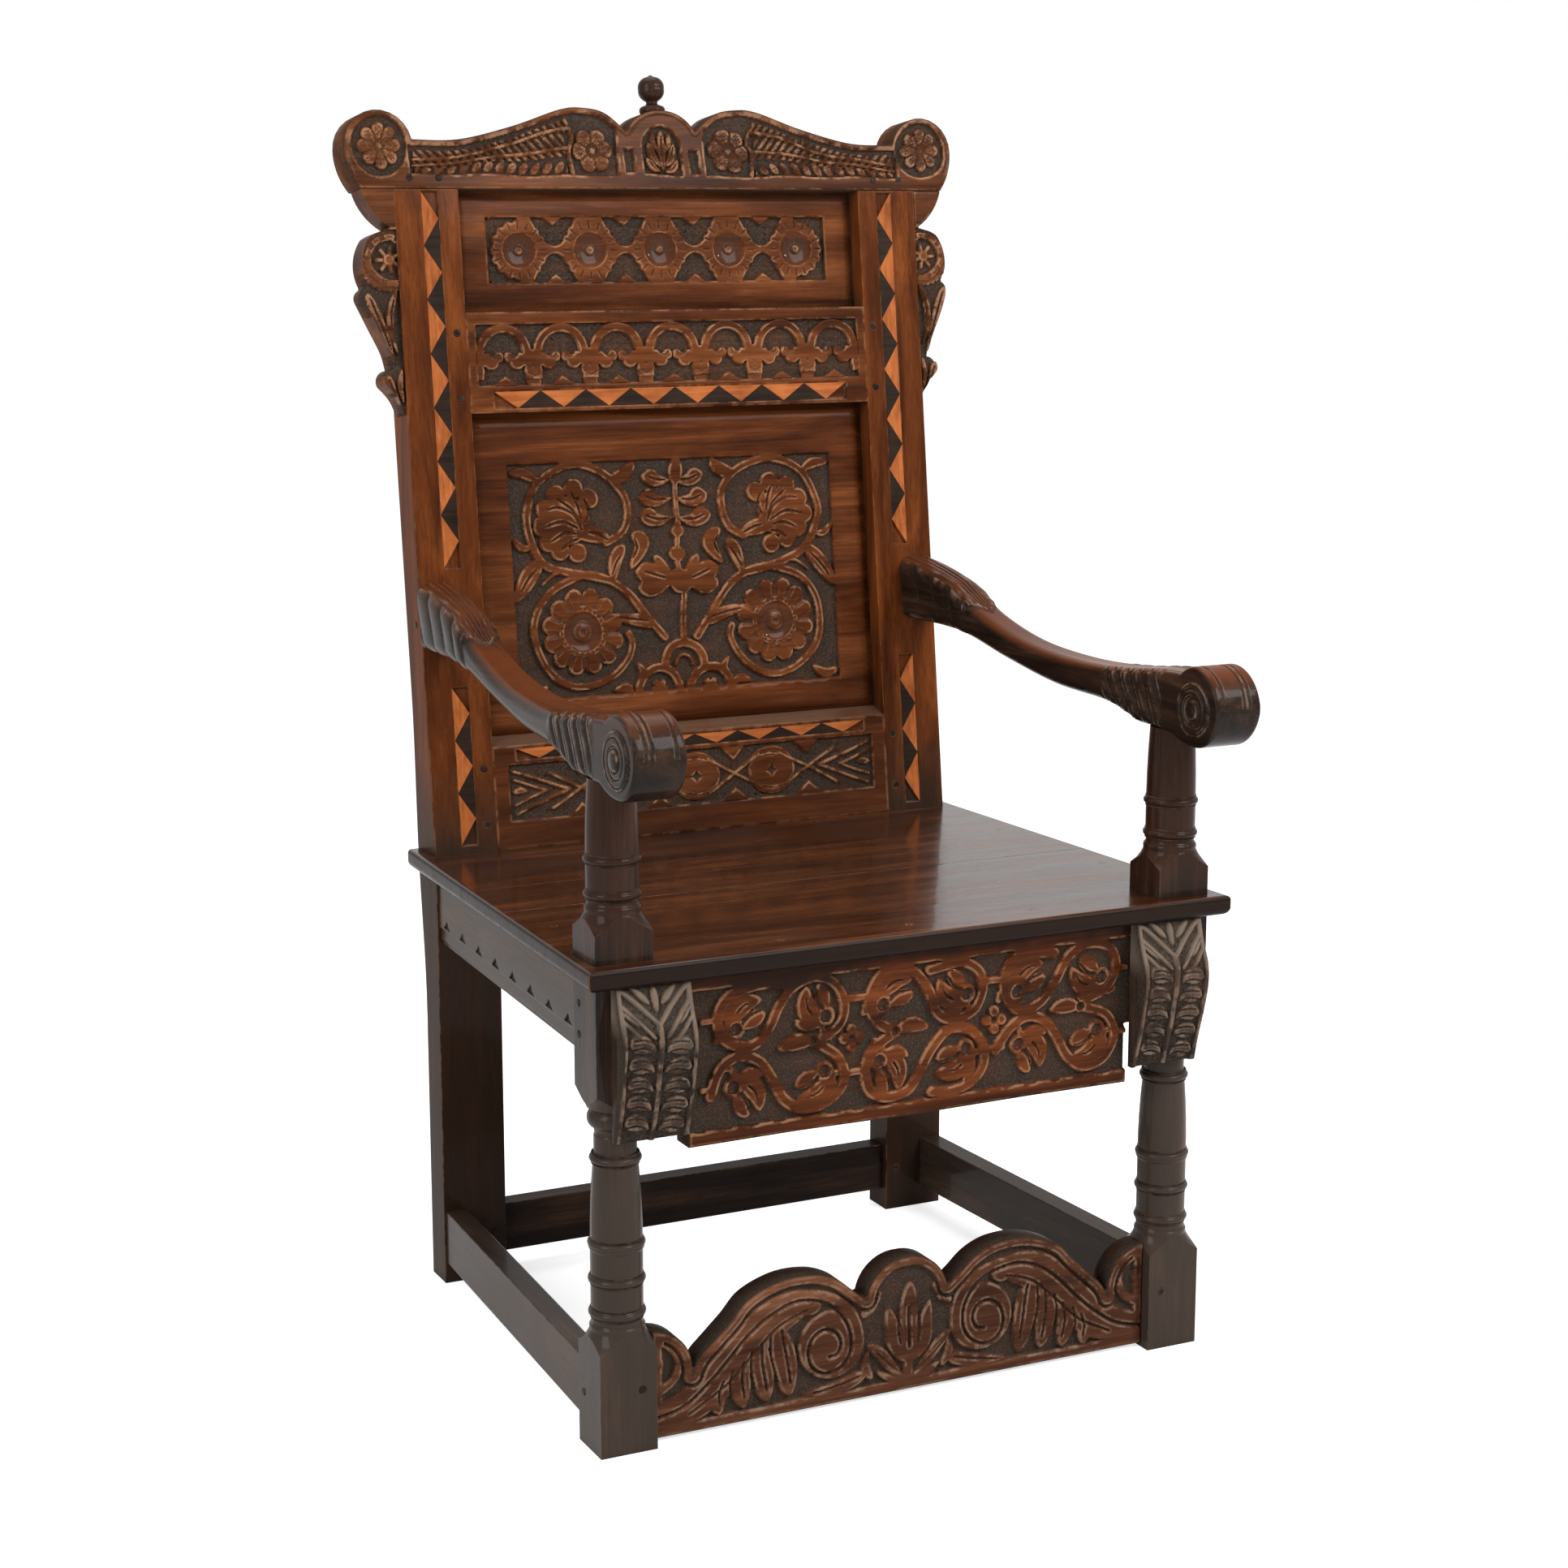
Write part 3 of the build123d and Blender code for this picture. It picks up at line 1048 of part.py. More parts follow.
def build():
    post = drilled_for_arm_peg(back_post())
    arm_right = drilled_for_arm_peg(arm())
    nodes = {
        "back_post_right": post,
        "crest_rail": crest_rail(),
        "crest_finial": crest_finial(),
        "ear_bracket_right": ear_bracket(),
        "upper_panel": upper_panel(),
        "middle_rail": middle_rail(),
        "main_panel": main_panel(),
        "lower_rail": lower_rail(),
        "inlay_light_middle_rail": rail_inlay(MIDDLE_INLAY_Z, True),
        "inlay_dark_middle_rail": rail_inlay(MIDDLE_INLAY_Z, False),
        "inlay_light_lower_rail": rail_inlay(LOWER_INLAY_Z, True),
        "inlay_dark_lower_rail": rail_inlay(LOWER_INLAY_Z, False),
        "inlay_light_stile_right": stile_inlay(True),
        "inlay_dark_stile_right": stile_inlay(False),
        "front_leg_right": front_leg(),
        "corbel_right": corbel(),
        "arm_right": arm_right,
        "front_seat_rail": drilled_for_seat(front_seat_rail()),
        "side_seat_rail_right": drilled_for_seat(side_seat_rail()),
        "back_seat_rail": drilled_for_seat(back_seat_rail()),
        "seat_board_front": seat_board_front(),
        "seat_board_back": seat_board_back(),
        "front_stretcher": front_stretcher(),
        "side_stretcher_right": side_stretcher(),
        "rear_stretcher": rear_stretcher(),
        "back_pegs": back_pegs(),
        "seat_frame_pegs": frame_pegs("seat_frame"),
        "stretcher_pegs": frame_pegs("stretcher"),
        "arm_pegs": arm_pegs(),
        "seat_board_pegs": seat_board_pegs(),
    }
    for name in [n for n in nodes if n.endswith("_right")]:
        nodes[name.replace("_right", "_left")] = other_side(nodes[name])
    return nodes


def main():
    nodes = build()
    boxes = [shape.bounding_box() for shape in nodes.values()]
    front = min(box.min.Y for box in boxes)
    rear = max(box.max.Y for box in boxes)
    os.makedirs("parts", exist_ok=True)
    for name, shape in nodes.items():
        export_step(Pos(0, -(front + rear) / 2, 0) * shape, f"parts/{name}.step")


main()
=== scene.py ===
# %% [markdown]
# # A carved oak armchair with a panelled back
#
# This is a joined chair: posts, rails and panels of riven oak, held by pegged mortise-and-tenon joints.
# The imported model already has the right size, the mouldings, the turnings and the inlay. What it can't
# have is the carver's work and three centuries of wax, dirt and wear. This lesson adds both: the carving
# as real relief, and the finish as procedural materials.

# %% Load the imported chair
import math

import bpy
import numpy as np
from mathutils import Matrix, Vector

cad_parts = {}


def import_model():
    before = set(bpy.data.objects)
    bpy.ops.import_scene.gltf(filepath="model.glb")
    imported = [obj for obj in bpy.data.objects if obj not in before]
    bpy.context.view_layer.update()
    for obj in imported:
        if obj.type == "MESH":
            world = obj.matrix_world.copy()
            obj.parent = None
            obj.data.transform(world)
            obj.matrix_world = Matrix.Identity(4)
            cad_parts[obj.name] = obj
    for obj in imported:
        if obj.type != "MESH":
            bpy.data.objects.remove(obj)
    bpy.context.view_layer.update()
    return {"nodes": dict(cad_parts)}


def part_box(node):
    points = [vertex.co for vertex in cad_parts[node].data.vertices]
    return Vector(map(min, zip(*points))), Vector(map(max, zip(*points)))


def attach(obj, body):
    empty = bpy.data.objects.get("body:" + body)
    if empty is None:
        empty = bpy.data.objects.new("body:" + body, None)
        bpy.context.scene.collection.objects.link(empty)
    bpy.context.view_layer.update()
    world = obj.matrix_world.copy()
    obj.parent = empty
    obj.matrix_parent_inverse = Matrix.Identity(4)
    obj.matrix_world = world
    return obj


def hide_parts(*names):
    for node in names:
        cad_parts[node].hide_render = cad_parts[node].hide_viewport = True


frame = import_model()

print("nodes in the packed chair:", len(frame["nodes"]))

# %% [markdown]
# ## Where the work goes
#
# Everything carved lies on a few flat faces: the leaning back, the front of the seat rail, the front
# stretcher. It is easiest to draw each pattern flat, in millimetres, as a carver draws it on the board.
# A face is therefore kept as four vectors: a corner to measure from, the directions across and up, and
# the direction that points out towards the person looking at it.

# %% Faces to carve on
MM = 0.001
RAKE = math.radians(6.9)
LEG_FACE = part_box("front_leg_right")[0].y
LEG_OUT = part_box("front_leg_right")[1].x
POST_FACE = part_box("back_post_right")[0].y
SEAT_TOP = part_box("seat_board_front")[1].z


def face(corner, across, up, out):
    """A flat face to draw on: a corner, and the directions across, up and outwards."""
    return [np.array(v, float) for v in (corner, across, up, out)]


BACK = face(
    (0, POST_FACE, SEAT_TOP), (1, 0, 0),
    (0, math.sin(RAKE), math.cos(RAKE)), (0, -math.cos(RAKE), math.sin(RAKE)),
)
FRONT = face((0, LEG_FACE, 0), (1, 0, 0), (0, 0, 1), (0, -1, 0))
print("back leans", round(math.degrees(RAKE), 1), "degrees from upright")

# %% [markdown]
# ## A carver's drawing kit
#
# Flat carving is made by drawing the pattern, then cutting the ground away round it. So each shape here
# says how deep inside its outline a place lies: above zero inside, below zero outside. The deepest of all
# the shapes decides, and `raised` turns that depth into a height, steep at the outline and level on top.
# Veins and gouge cuts are taken off again afterwards with `cut`.

# %% Lines and how far from them
FAR = 60.0


def smooth(points, steps=7):
    """A soft curve through the given points."""
    p = np.array([points[0], *points, points[-1]], float)
    t = np.linspace(0, 1, steps, endpoint=False)[:, None]
    parts = []
    for a, b, c, d in zip(p, p[1:], p[2:], p[3:]):
        bend = (2 * a - 5 * b + 4 * c - d) * t**2 + (3 * b - a - 3 * c + d) * t**3
        parts.append(b + 0.5 * ((c - a) * t + bend))
    return np.vstack([*parts, p[-1:]])


def nearest(u, v, line, reach=30.0):
    """Distance from each place to a line of points, and how far along the line that is, from 0 to 1."""
    away, along = np.full(u.shape, FAR), np.zeros(u.shape)
    low, high = line.min(0) - reach, line.max(0) + reach
    near = (u > low[0]) & (u < high[0]) & (v > low[1]) & (v < high[1])
    pu, pv = u[near], v[near]
    best, where = np.full(pu.shape, FAR), np.zeros(pu.shape)
    for n, (a, b) in enumerate(zip(line, line[1:])):
        run = b - a
        t = np.clip(((pu - a[0]) * run[0] + (pv - a[1]) * run[1]) / max(run @ run, 1e-9), 0, 1)
        gap = np.hypot(pu - a[0] - t * run[0], pv - a[1] - t * run[1])
        closer = gap < best
        best[closer] = gap[closer]
        where[closer] = (n + t[closer]) / (len(line) - 1)
    away[near], along[near] = best, where
    return away, along


# %% Shapes that stand up from the ground
def stem(u, v, points, wide, tip=None):
    """A band along a curve, running from its width to the tip's width."""
    away, along = nearest(u, v, smooth(points))
    tip = wide if tip is None else tip
    return (wide + (tip - wide) * along) / 2 - away


def leaf(u, v, points, wide, fullest=0.5):
    """A leaf along a curve, pointed at both ends and fullest at a share of its length."""
    away, along = nearest(u, v, smooth(points))
    power = math.log(0.5) / math.log(fullest)
    return wide / 2 * np.sin(np.pi * along**power) ** 0.7 - away


def disc(u, v, at, radius):
    return radius - np.hypot(u - at[0], v - at[1])


def hoop(u, v, at, radius, wide):
    return wide / 2 - np.abs(np.hypot(u - at[0], v - at[1]) - radius)


def flower(u, v, at, inner, outer, petals, turn=0.0):
    """Rounded petals round a point: the outline swings between the inner and the outer radius."""
    angle = np.arctan2(v - at[1], u - at[0]) + turn
    edge = inner + (outer - inner) * np.abs(np.cos(angle * petals / 2)) ** 0.6
    return edge - np.hypot(u - at[0], v - at[1])


def board(u, v, u_low, u_high, v_low, v_high):
    return np.minimum.reduce([u - u_low, u_high - u, v - v_low, v_high - v])


def most(*shapes):
    return np.maximum.reduce(shapes)


def stems(u, v, *shapes):
    """Several stems, each given by its points, its width and perhaps its tip's width."""
    return most(*(stem(u, v, *shape) for shape in shapes))


def leaves(u, v, *shapes):
    """Several leaves, each given by its points, its width and where it is fullest."""
    return most(*(leaf(u, v, *shape) for shape in shapes))


# %% From shapes to heights
def raised(depth, rise, soft=1.5):
    t = np.clip(depth / soft, 0, 1)
    return rise * t * (2 - t)


def notch(away, half, deep):
    """A V-shaped groove, by the distance from its line."""
    return deep * np.clip(1 - np.abs(away) / half, 0, 1)


def bowl(away, radius, deep):
    """A round hollow or, added, a round button, by the distance from its middle."""
    return deep * np.sqrt(np.clip(1 - (away / radius) ** 2, 0, 1))


def eased_edge(rim, reach, deep):
    """An edge that wear has rounded over, by the distance from the outline."""
    return deep * np.clip(1 - rim / reach, 0, 1) ** 2


def cut(u, v, points, wide, deep):
    """A V-shaped cut along a curve, running out to nothing at both ends."""
    away, along = nearest(u, v, smooth(points))
    return notch(away, wide / 2 * np.sin(np.pi * np.clip(along, 0.04, 0.96)) ** 0.5, deep)


def dish(u, v, at, radius, deep):
    """A round hollow, as a gouge leaves it when it is turned on the spot."""
    return bowl(np.hypot(u - at[0], v - at[1]), radius, deep)


def tooling(u, v):
    """The uneven ground that small gouges leave."""
    return np.sin(1.5 * u + 1.4 * np.sin(0.9 * v)) * np.sin(1.8 * v + 1.7 * np.sin(0.8 * u))


def by_hand(u, v, amount=0.5):
    """The same places, drifting a little, because nothing carved by eye is quite true."""
    return (
        u + amount * (np.sin(v / 11 + 0.7) + 0.6 * np.sin(u / 17 + v / 23)),
        v + amount * (np.sin(u / 13 + 0.3) + 0.6 * np.sin(v / 19 - u / 29)),
    )


def inside(u, v, outline):
    """Whether places lie inside a closed outline: a line from there crosses it an odd number of times."""
    odd = np.zeros(u.shape, bool)
    for (au, av), (bu, bv) in zip(outline, np.roll(outline, -1, 0)):
        if av != bv:
            odd ^= ((av > v) != (bv > v)) & (u < (bu - au) * (v - av) / (bv - av) + au)
    return odd


print("drawing kit ready")

# %% [markdown]
# ## From a drawing to wood
#
# A carved face is a flat grid, like a sheet of graph paper with squares of about a millimetre. Where the
# board has an outline of its own, such as the crest, the sheet is trimmed to it and its last squares are
# pulled onto the line. Then every point is pushed out by its height, and the sheet's border is extruded
# backwards and closed, so that the piece is a solid board and not a loose skin.

# %% The sheet and its outline
def onto(u, v, outline):
    """The nearest place on a closed outline."""
    loop = np.vstack([outline, outline[:1]])
    best, at = np.full(u.shape, 1e9), np.zeros((2, *u.shape))
    for a, b in zip(loop, loop[1:]):
        run = b - a
        t = np.clip(((u - a[0]) * run[0] + (v - a[1]) * run[1]) / max(run @ run, 1e-9), 0, 1)
        pu, pv = a[0] + t * run[0], a[1] + t * run[1]
        gap = np.hypot(u - pu, v - pv)
        closer = gap < best
        best[closer] = gap[closer]
        at[0][closer], at[1][closer] = pu[closer], pv[closer]
    return best, at


def edit(obj, mode="VERT"):
    """Opens one object for editing, with nothing selected."""
    bpy.ops.object.select_all(action="DESELECT")
    obj.select_set(True)
    bpy.context.view_layer.objects.active = obj
    bpy.ops.object.mode_set(mode="EDIT")
    bpy.ops.mesh.select_mode(type=mode)
    bpy.ops.mesh.select_all(action="DESELECT")


def places(obj):
    co = np.empty(len(obj.data.vertices) * 3)
    obj.data.vertices.foreach_get("co", co)
    return co.reshape(-1, 3)


def place(obj, co):
    obj.data.vertices.foreach_set("co", np.ascontiguousarray(co, float).ravel())
    obj.data.update()


def marks(*stops):
    """Places along a line, from stops of (place, step until the next), ending with a plain place."""
    parts = []
    for (low, step), high in zip(stops[:-1], [*(s[0] for s in stops[1:-1]), stops[-1]]):
        parts.append(np.linspace(low, high, max(1, round((high - low) / step)), endpoint=False))
    return np.append(np.concatenate(parts), stops[-1])


def sheet(name, u_marks, v_marks, outline=None):
    """A flat grid in millimetres. With an outline, it is trimmed and pulled onto it."""
    bpy.ops.object.select_all(action="DESELECT")
    bpy.ops.mesh.primitive_grid_add(
        x_subdivisions=len(u_marks) - 1, y_subdivisions=len(v_marks) - 1, size=1, location=(0, 0, 0)
    )
    obj = bpy.context.object
    obj.name = obj.data.name = name
    share = places(obj) + 0.5
    column = np.rint(share[:, 0] * (len(u_marks) - 1)).astype(int)
    row = np.rint(share[:, 1] * (len(v_marks) - 1)).astype(int)
    co = np.column_stack([u_marks[column], v_marks[row], np.zeros(len(share))])
    if outline is None:
        place(obj, co)
        return obj
    step = u_marks[1] - u_marks[0]
    gap, at = onto(co[:, 0], co[:, 1], outline)
    within = inside(co[:, 0], co[:, 1], outline) & (gap > 0.35 * step)
    co[~within, :2] = at.T[~within]
    place(obj, co)
    keep = np.zeros(len(co), bool)
    for polygon in obj.data.polygons:
        corners = list(polygon.vertices)
        if within[corners].any():
            keep[corners] = True
    edit(obj)
    bpy.ops.object.mode_set(mode="OBJECT")
    obj.data.vertices.foreach_set("select", ~keep)
    bpy.ops.object.mode_set(mode="EDIT")
    bpy.ops.mesh.delete(type="VERT")
    bpy.ops.mesh.select_all(action="SELECT")
    bpy.ops.mesh.remove_doubles(threshold=0.05 * step)
    bpy.ops.object.mode_set(mode="OBJECT")
    return obj


# %% Height, wear and thickness
def blurred(obj, values, times):
    """Values at the points, each replaced a number of times by the mean with its neighbours."""
    ends = np.empty(len(obj.data.edges) * 2, np.int64)
    obj.data.edges.foreach_get("vertices", ends)
    a, b = ends.reshape(-1, 2).T
    size = len(values)
    count = 1 + np.bincount(a, minlength=size) + np.bincount(b, minlength=size)
    for _ in range(times):
        total = np.bincount(a, values[b], size) + np.bincount(b, values[a], size)
        values = (values + total) / count
    return values


def record(obj, name, values, rest):
    """Keeps a number for each point, under a name that materials can read. Newer points get rest."""
    full = np.full(len(obj.data.vertices), rest, np.float32)
    full[: len(values)] = values
    obj.data.attributes.new(name, "FLOAT", "POINT").data.foreach_set("value", full)


def carve(obj, on, height, top, base=0.0, thick=1.2, flat_back=None, reach=1.6, polish_and_shade=None, fresh=None):
    """Raises a sheet by its heights, stands it on a face and gives it thickness. All in millimetres.

    height is a function of the places, top is the height of the untouched surface, base is how far that
    lies from the face. flat_back is the depth of a flat back; without it, the border goes back by thick.
    The last two are functions of the places too: the first is 1 where the finished wood shines and is
    darkened, by pooled wax and by painted shade; the second is 1 where its edges are left without the
    lighter colour of rubbing and painted glints.
    """
    flat = places(obj)
    u, v = flat[:, 0], flat[:, 1]
    h = height(u, v)
    low = base(u, v) if callable(base) else base
    corner, across, up, out = on
    lift = (low + h)[:, None] * MM
    place(obj, corner + u[:, None] * MM * across + v[:, None] * MM * up + lift * out)
    around = max(2, round(reach**2 * 2))
    # From this, raised edges get a lighter colour (wear, and in part painted glints) and hollows a darker one
    # (dirt, and in part painted shade).
    bulge = np.clip((h - blurred(obj, h, around)) / 0.5, -1, 1)
    if fresh:
        bulge = np.where(bulge > 0, bulge * (1 - fresh(u, v)), bulge)
    wear = bulge * 0.5 + 0.5
    count = len(flat)
    edit(obj, "EDGE")
    bpy.ops.mesh.select_non_manifold(extend=False, use_wire=False, use_multi_face=False,
                                     use_non_contiguous=False, use_verts=False)
    bpy.ops.mesh.extrude_edges_move(TRANSFORM_OT_translate={"value": tuple(-out * thick * MM)})
    bpy.ops.object.mode_set(mode="OBJECT")
    if flat_back is not None:
        co = places(obj)
        depth = (co[count:] - corner) @ out
        co[count:] -= (depth + flat_back * MM)[:, None] * out
        place(obj, co)
    bpy.ops.object.mode_set(mode="EDIT")
    bpy.ops.mesh.edge_face_add()
    bpy.ops.mesh.select_all(action="SELECT")
    bpy.ops.mesh.normals_make_consistent(inside=False)
    bpy.ops.object.mode_set(mode="OBJECT")
    record(obj, "relief", np.clip(h / top, 0, 1), 1.0)
    record(obj, "wear", wear, 0.5)
    record(obj, "polish_and_shade", polish_and_shade(u, v) if polish_and_shade else np.zeros(len(u)), 0.0)
    bpy.ops.object.shade_smooth_by_angle(angle=math.radians(70))
    return obj


def dress(obj, material, stands_for=None):
    """Gives a finished piece its material and its body, and hides the imported piece it stands for."""
    obj.data.materials.clear()
    obj.data.materials.append(material)
    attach(obj, "root")
    if stands_for:
        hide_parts(stands_for)
    print(obj.name, "faces:", len(obj.data.polygons))
    return obj


# %% [markdown]
# ## The finish
#
# Old oak is never one colour. Under the wax there is a broad figure that follows the grain, then fine dark
# pores, then patches where hands and cloths have taken the polish off or left dirt. Edges are lighter and
# redder, partly from rubbing and partly as painted highlights and glints. The cut grounds are nearly black
# with old wax and dust, and the hollows and inside corners next to them are darkened further, partly as
# painted shade. All of it is built from noise stretched along the grain. The carved pieces carry their own
# `relief` and `wear` numbers. The imported pieces don't, so there the Bevel node finds the edges, and the
# Ambient Occlusion node the corners.

# %% A short way to write shader nodes
def node(tree, kind, inputs=None, **settings):
    """Adds a shader node. Inputs are sockets to link or values to set, by name or by number."""
    made = tree.nodes.new("ShaderNode" + kind)
    for key, value in settings.items():
        setattr(made, key, value)
    for key, value in (inputs or {}).items():
        if isinstance(value, bpy.types.NodeSocket):
            tree.links.new(value, made.inputs[key])
        else:
            made.inputs[key].default_value = value
    return made


def blank(material):
    """The empty node tree of a new material or world."""
    material.use_nodes = True
    material.node_tree.nodes.clear()
    return material.node_tree


def sums(tree, kind, *values):
    """A Math node on one or two values."""
    return node(tree, "Math", dict(enumerate(values)), operation=kind).outputs[0]


def times(tree, first, second):
    return sums(tree, "MULTIPLY", first, second)


def plus(tree, first, second):
    return sums(tree, "ADD", first, second)


def ramp(tree, value, *stops):
    """Colours along a value: stops are (place, colour)."""
    made = node(tree, "ValToRGB", {0: value})
    points = made.color_ramp.elements
    while len(points) < len(stops):
        points.new(0.5)
    for point, (at, colour) in zip(points, stops):
        point.position = at
        point.color = (*colour, 1)
    return made.outputs["Color"]


def fade(tree, value, low, high, to_low=0.0, to_high=1.0):
    """A value carried from one range to another, held at the ends."""
    return node(tree, "MapRange", {0: value, 1: low, 2: high, 3: to_low, 4: to_high}).outputs[0]


def blend_colours(tree, share, first, second, kind="MIX"):
    made = node(tree, "Mix", {0: share}, data_type="RGBA", blend_type=kind)
    for key, value in ((6, first), (7, second)):
        if isinstance(value, bpy.types.NodeSocket):
            tree.links.new(value, made.inputs[key])
        else:
            made.inputs[key].default_value = (*value, 1)
    return made.outputs[2]


# %% Grain and noise
# DIRT and DUST colour the pores and grounds; through the ground mask they also paint shade into hollows and
# corners.
DIRT = (0.020, 0.014, 0.010)
DUST = (0.088, 0.072, 0.060)
GRAIN = {"X": (1, 0, 0), "Y": (0, 1, 0), "Z": (0, 0, 1)}


def stretched(tree, place_socket, axis, along, across):
    """Coordinates squeezed across the grain, so that noise becomes streaks along it."""
    scale = [along if share else across for share in GRAIN[axis]]
    return node(tree, "Mapping", {"Vector": place_socket, "Scale": scale}).outputs[0]


def noise(tree, vector, scale, detail=4.0, rough=0.55, twist=0.0):
    sockets = {"Vector": vector, "Scale": scale, "Detail": detail, "Roughness": rough, "Distortion": twist}
    return node(tree, "TexNoise", sockets).outputs[0]


# %% Oak
def oak(name, axis, tones, worn, gloss=0.34, carved=False, wear_share=0.55, shine=0.05, dirt=DIRT, zones=(),
        upward=None, aside=None, rim=None, easing=0.0022):
    """Waxed old oak with its grain along an axis. tones are the dark, middle and light of its figure.

    zones are heights between which another colour comes in. upward, aside and rim tint the faces that lie
    level, stand upright or run round the edge of a board; on the rails the level tint is a painted highlight.
    easing is how far the worn and highlighted arrises reach.
    """
    material = bpy.data.materials.new(name)
    tree = blank(material)
    at = node(tree, "TexCoord").outputs["Object"]
    figure = noise(tree, stretched(tree, at, axis, 3.0, 34.0), 1.0, 7.0, 0.62, 0.6)
    fibre = noise(tree, stretched(tree, at, axis, 14.0, 420.0), 1.0, 3.0, 0.6)
    pores = fade(tree, noise(tree, stretched(tree, at, axis, 60.0, 1500.0), 1.0, 2.0), 0.60, 0.72)
    patch = noise(tree, at, 7.0, 4.0, 0.6, 0.8)
    grime = noise(tree, at, 38.0, 5.0, 0.65)
    grain = plus(tree, times(tree, figure, 0.7), times(tree, fibre, 0.3))
    colour = ramp(tree, grain, (0.36, tones[0]), (0.50, tones[1]), (0.63, tones[2]))
    colour = blend_colours(tree, times(tree, pores, 0.55), colour, dirt)
    colour = blend_colours(tree, fade(tree, patch, 0.42, 0.62, 0.0, 0.42), colour, tones[0])
    colour = blend_colours(tree, 1.0, colour, fade(tree, figure, 0.34, 0.66, 0.72, 1.28), "MULTIPLY")
    if carved:
        relief = node(tree, "Attribute", attribute_name="relief").outputs["Fac"]
        wear = node(tree, "Attribute", attribute_name="wear").outputs["Fac"]
        rubbed_and_glint = fade(tree, wear, 0.62, 0.95)
        # Concave places beside the raised work join the dark grounds: dirt, and in part painted shade.
        hollow = fade(tree, wear, 0.40, 0.08)
        ground = sums(tree, "MAXIMUM", fade(tree, relief, 0.66, 0.24), times(tree, hollow, 0.85))
        ground = times(tree, ground, fade(tree, grime, 0.38, 0.66, 1.0, 0.72))
    else:
        straight = node(tree, "NewGeometry").outputs["Normal"]
        eased = node(tree, "Bevel", {"Radius": easing}, samples=6).outputs[0]
        turn = node(tree, "VectorMath", {0: straight, 1: eased}, operation="DOT_PRODUCT").outputs["Value"]
        rubbed_and_glint = fade(tree, turn, 0.985, 0.86)
        # The Ambient Occlusion node darkens corners and crevices: dirt settled there, and in part painted
        # shade.
        shut = node(tree, "AmbientOcclusion", {"Distance": 0.03}, samples=6).outputs["AO"]
        ground = fade(tree, plus(tree, shut, times(tree, grime, 0.35)), 0.72, 0.36, 0.0, 0.8)
    height = node(tree, "SeparateXYZ", {0: at}).outputs["Z"]
    ragged = plus(tree, height, times(tree, sums(tree, "SUBTRACT", patch, 0.5), 0.10))
    for start, end, tint, share in zones:
        colour = blend_colours(tree, fade(tree, ragged, start, end, 0.0, share), colour, tint)
    lie = node(tree, "SeparateXYZ", {0: node(tree, "NewGeometry").outputs["Normal"]}).outputs
    facing = lie["Z"]
    # Level faces take a tint; on the rails it is a painted highlight.
    if upward:
        tint, share = upward
        lying = fade(tree, facing, 0.45, 0.9, 0.0, share)
        lying = times(tree, lying, fade(tree, patch, 0.35, 0.55, 0.5, 1))
        colour = blend_colours(tree, lying, colour, tint)
    if aside:
        tint, share = aside
        colour = blend_colours(tree, fade(tree, facing, 0.95, 0.6, 0.0, share), colour, tint)
        shine = fade(tree, facing, 0.95, 0.6, shine, 0.2 * shine)
    if rim:
        tint, share = rim
        edge = fade(tree, sums(tree, "ABSOLUTE", lie["Y"], 0), 0.5, 0.25, 0.0, share)
        colour = blend_colours(tree, edge, colour, tint)
    polish_and_shade = node(tree, "Attribute", attribute_name="polish_and_shade").outputs["Fac"]
    ground = times(tree, ground, fade(tree, polish_and_shade, 0, 1, 1.0, 0.45))
    speckle = fade(tree, noise(tree, at, 520.0, 3.0, 0.6), 0.45, 0.66, 0.0, 0.5)
    dirt_and_shade = blend_colours(tree, speckle, dirt, DUST)
    # Polished hollows turn darker: pooled wax, and in part painted shade inside the dishes and drilled eyes.
    colour = blend_colours(tree, times(tree, polish_and_shade, 0.5), colour, tones[0])
    # Lighter edges: rubbed wear, and in part painted highlights and glints on some of them.
    chance = fade(tree, noise(tree, at, 64.0, 4.0, 0.6), 0.44, 0.58)
    rubbed_and_glint = times(tree, times(tree, rubbed_and_glint, chance), wear_share)
    colour = blend_colours(tree, rubbed_and_glint, colour, worn)
    # Grounds, hollows and corners take the dirt colour: dirt and dust, and in part painted shade.
    colour = blend_colours(tree, ground, colour, dirt_and_shade)
    roughness = fade(tree, figure, 0.3, 0.7, gloss - 0.03, gloss + 0.12)
    roughness = plus(tree, roughness, times(tree, ground, 0.3))
    skin = plus(tree, times(tree, fibre, 0.35), times(tree, pores, -0.5))
    skin = plus(tree, skin, times(tree, noise(tree, at, 160.0, 3.0), 0.5))
    normal = {"Strength": 0.35, "Distance": 0.0006, "Height": skin}
    if not carved:
        normal["Normal"] = eased
    bumps = node(tree, "Bump", normal).outputs[0]
    ripple = noise(tree, stretched(tree, at, axis, 5.0, 26.0), 1.0, 2.0)
    dented = {"Strength": 0.4, "Distance": 0.0018, "Height": ripple, "Normal": bumps}
    clean = fade(tree, ground, 0, 1, 1.0, 0.15)
    waxed = times(tree, clean, shine)
    level = plus(tree, times(tree, waxed, 0.4), times(tree, polish_and_shade, 0.01))
    coat = plus(tree, times(tree, waxed, 1.1), times(tree, polish_and_shade, 0.08))
    wavy = {"Strength": 0.3, "Distance": 0.0010, "Height": ripple}
    if not carved:
        wavy["Normal"] = eased
    shader = node(tree, "BsdfPrincipled", {
        "Base Color": colour, "Roughness": roughness, "Normal": node(tree, "Bump", dented).outputs[0],
        "IOR": 1.47, "Specular IOR Level": level, "Coat Weight": coat, "Coat Roughness": 0.09,
        "Coat Normal": node(tree, "Bump", wavy).outputs[0],
    })
    node(tree, "OutputMaterial", {"Surface": shader.outputs[0]})
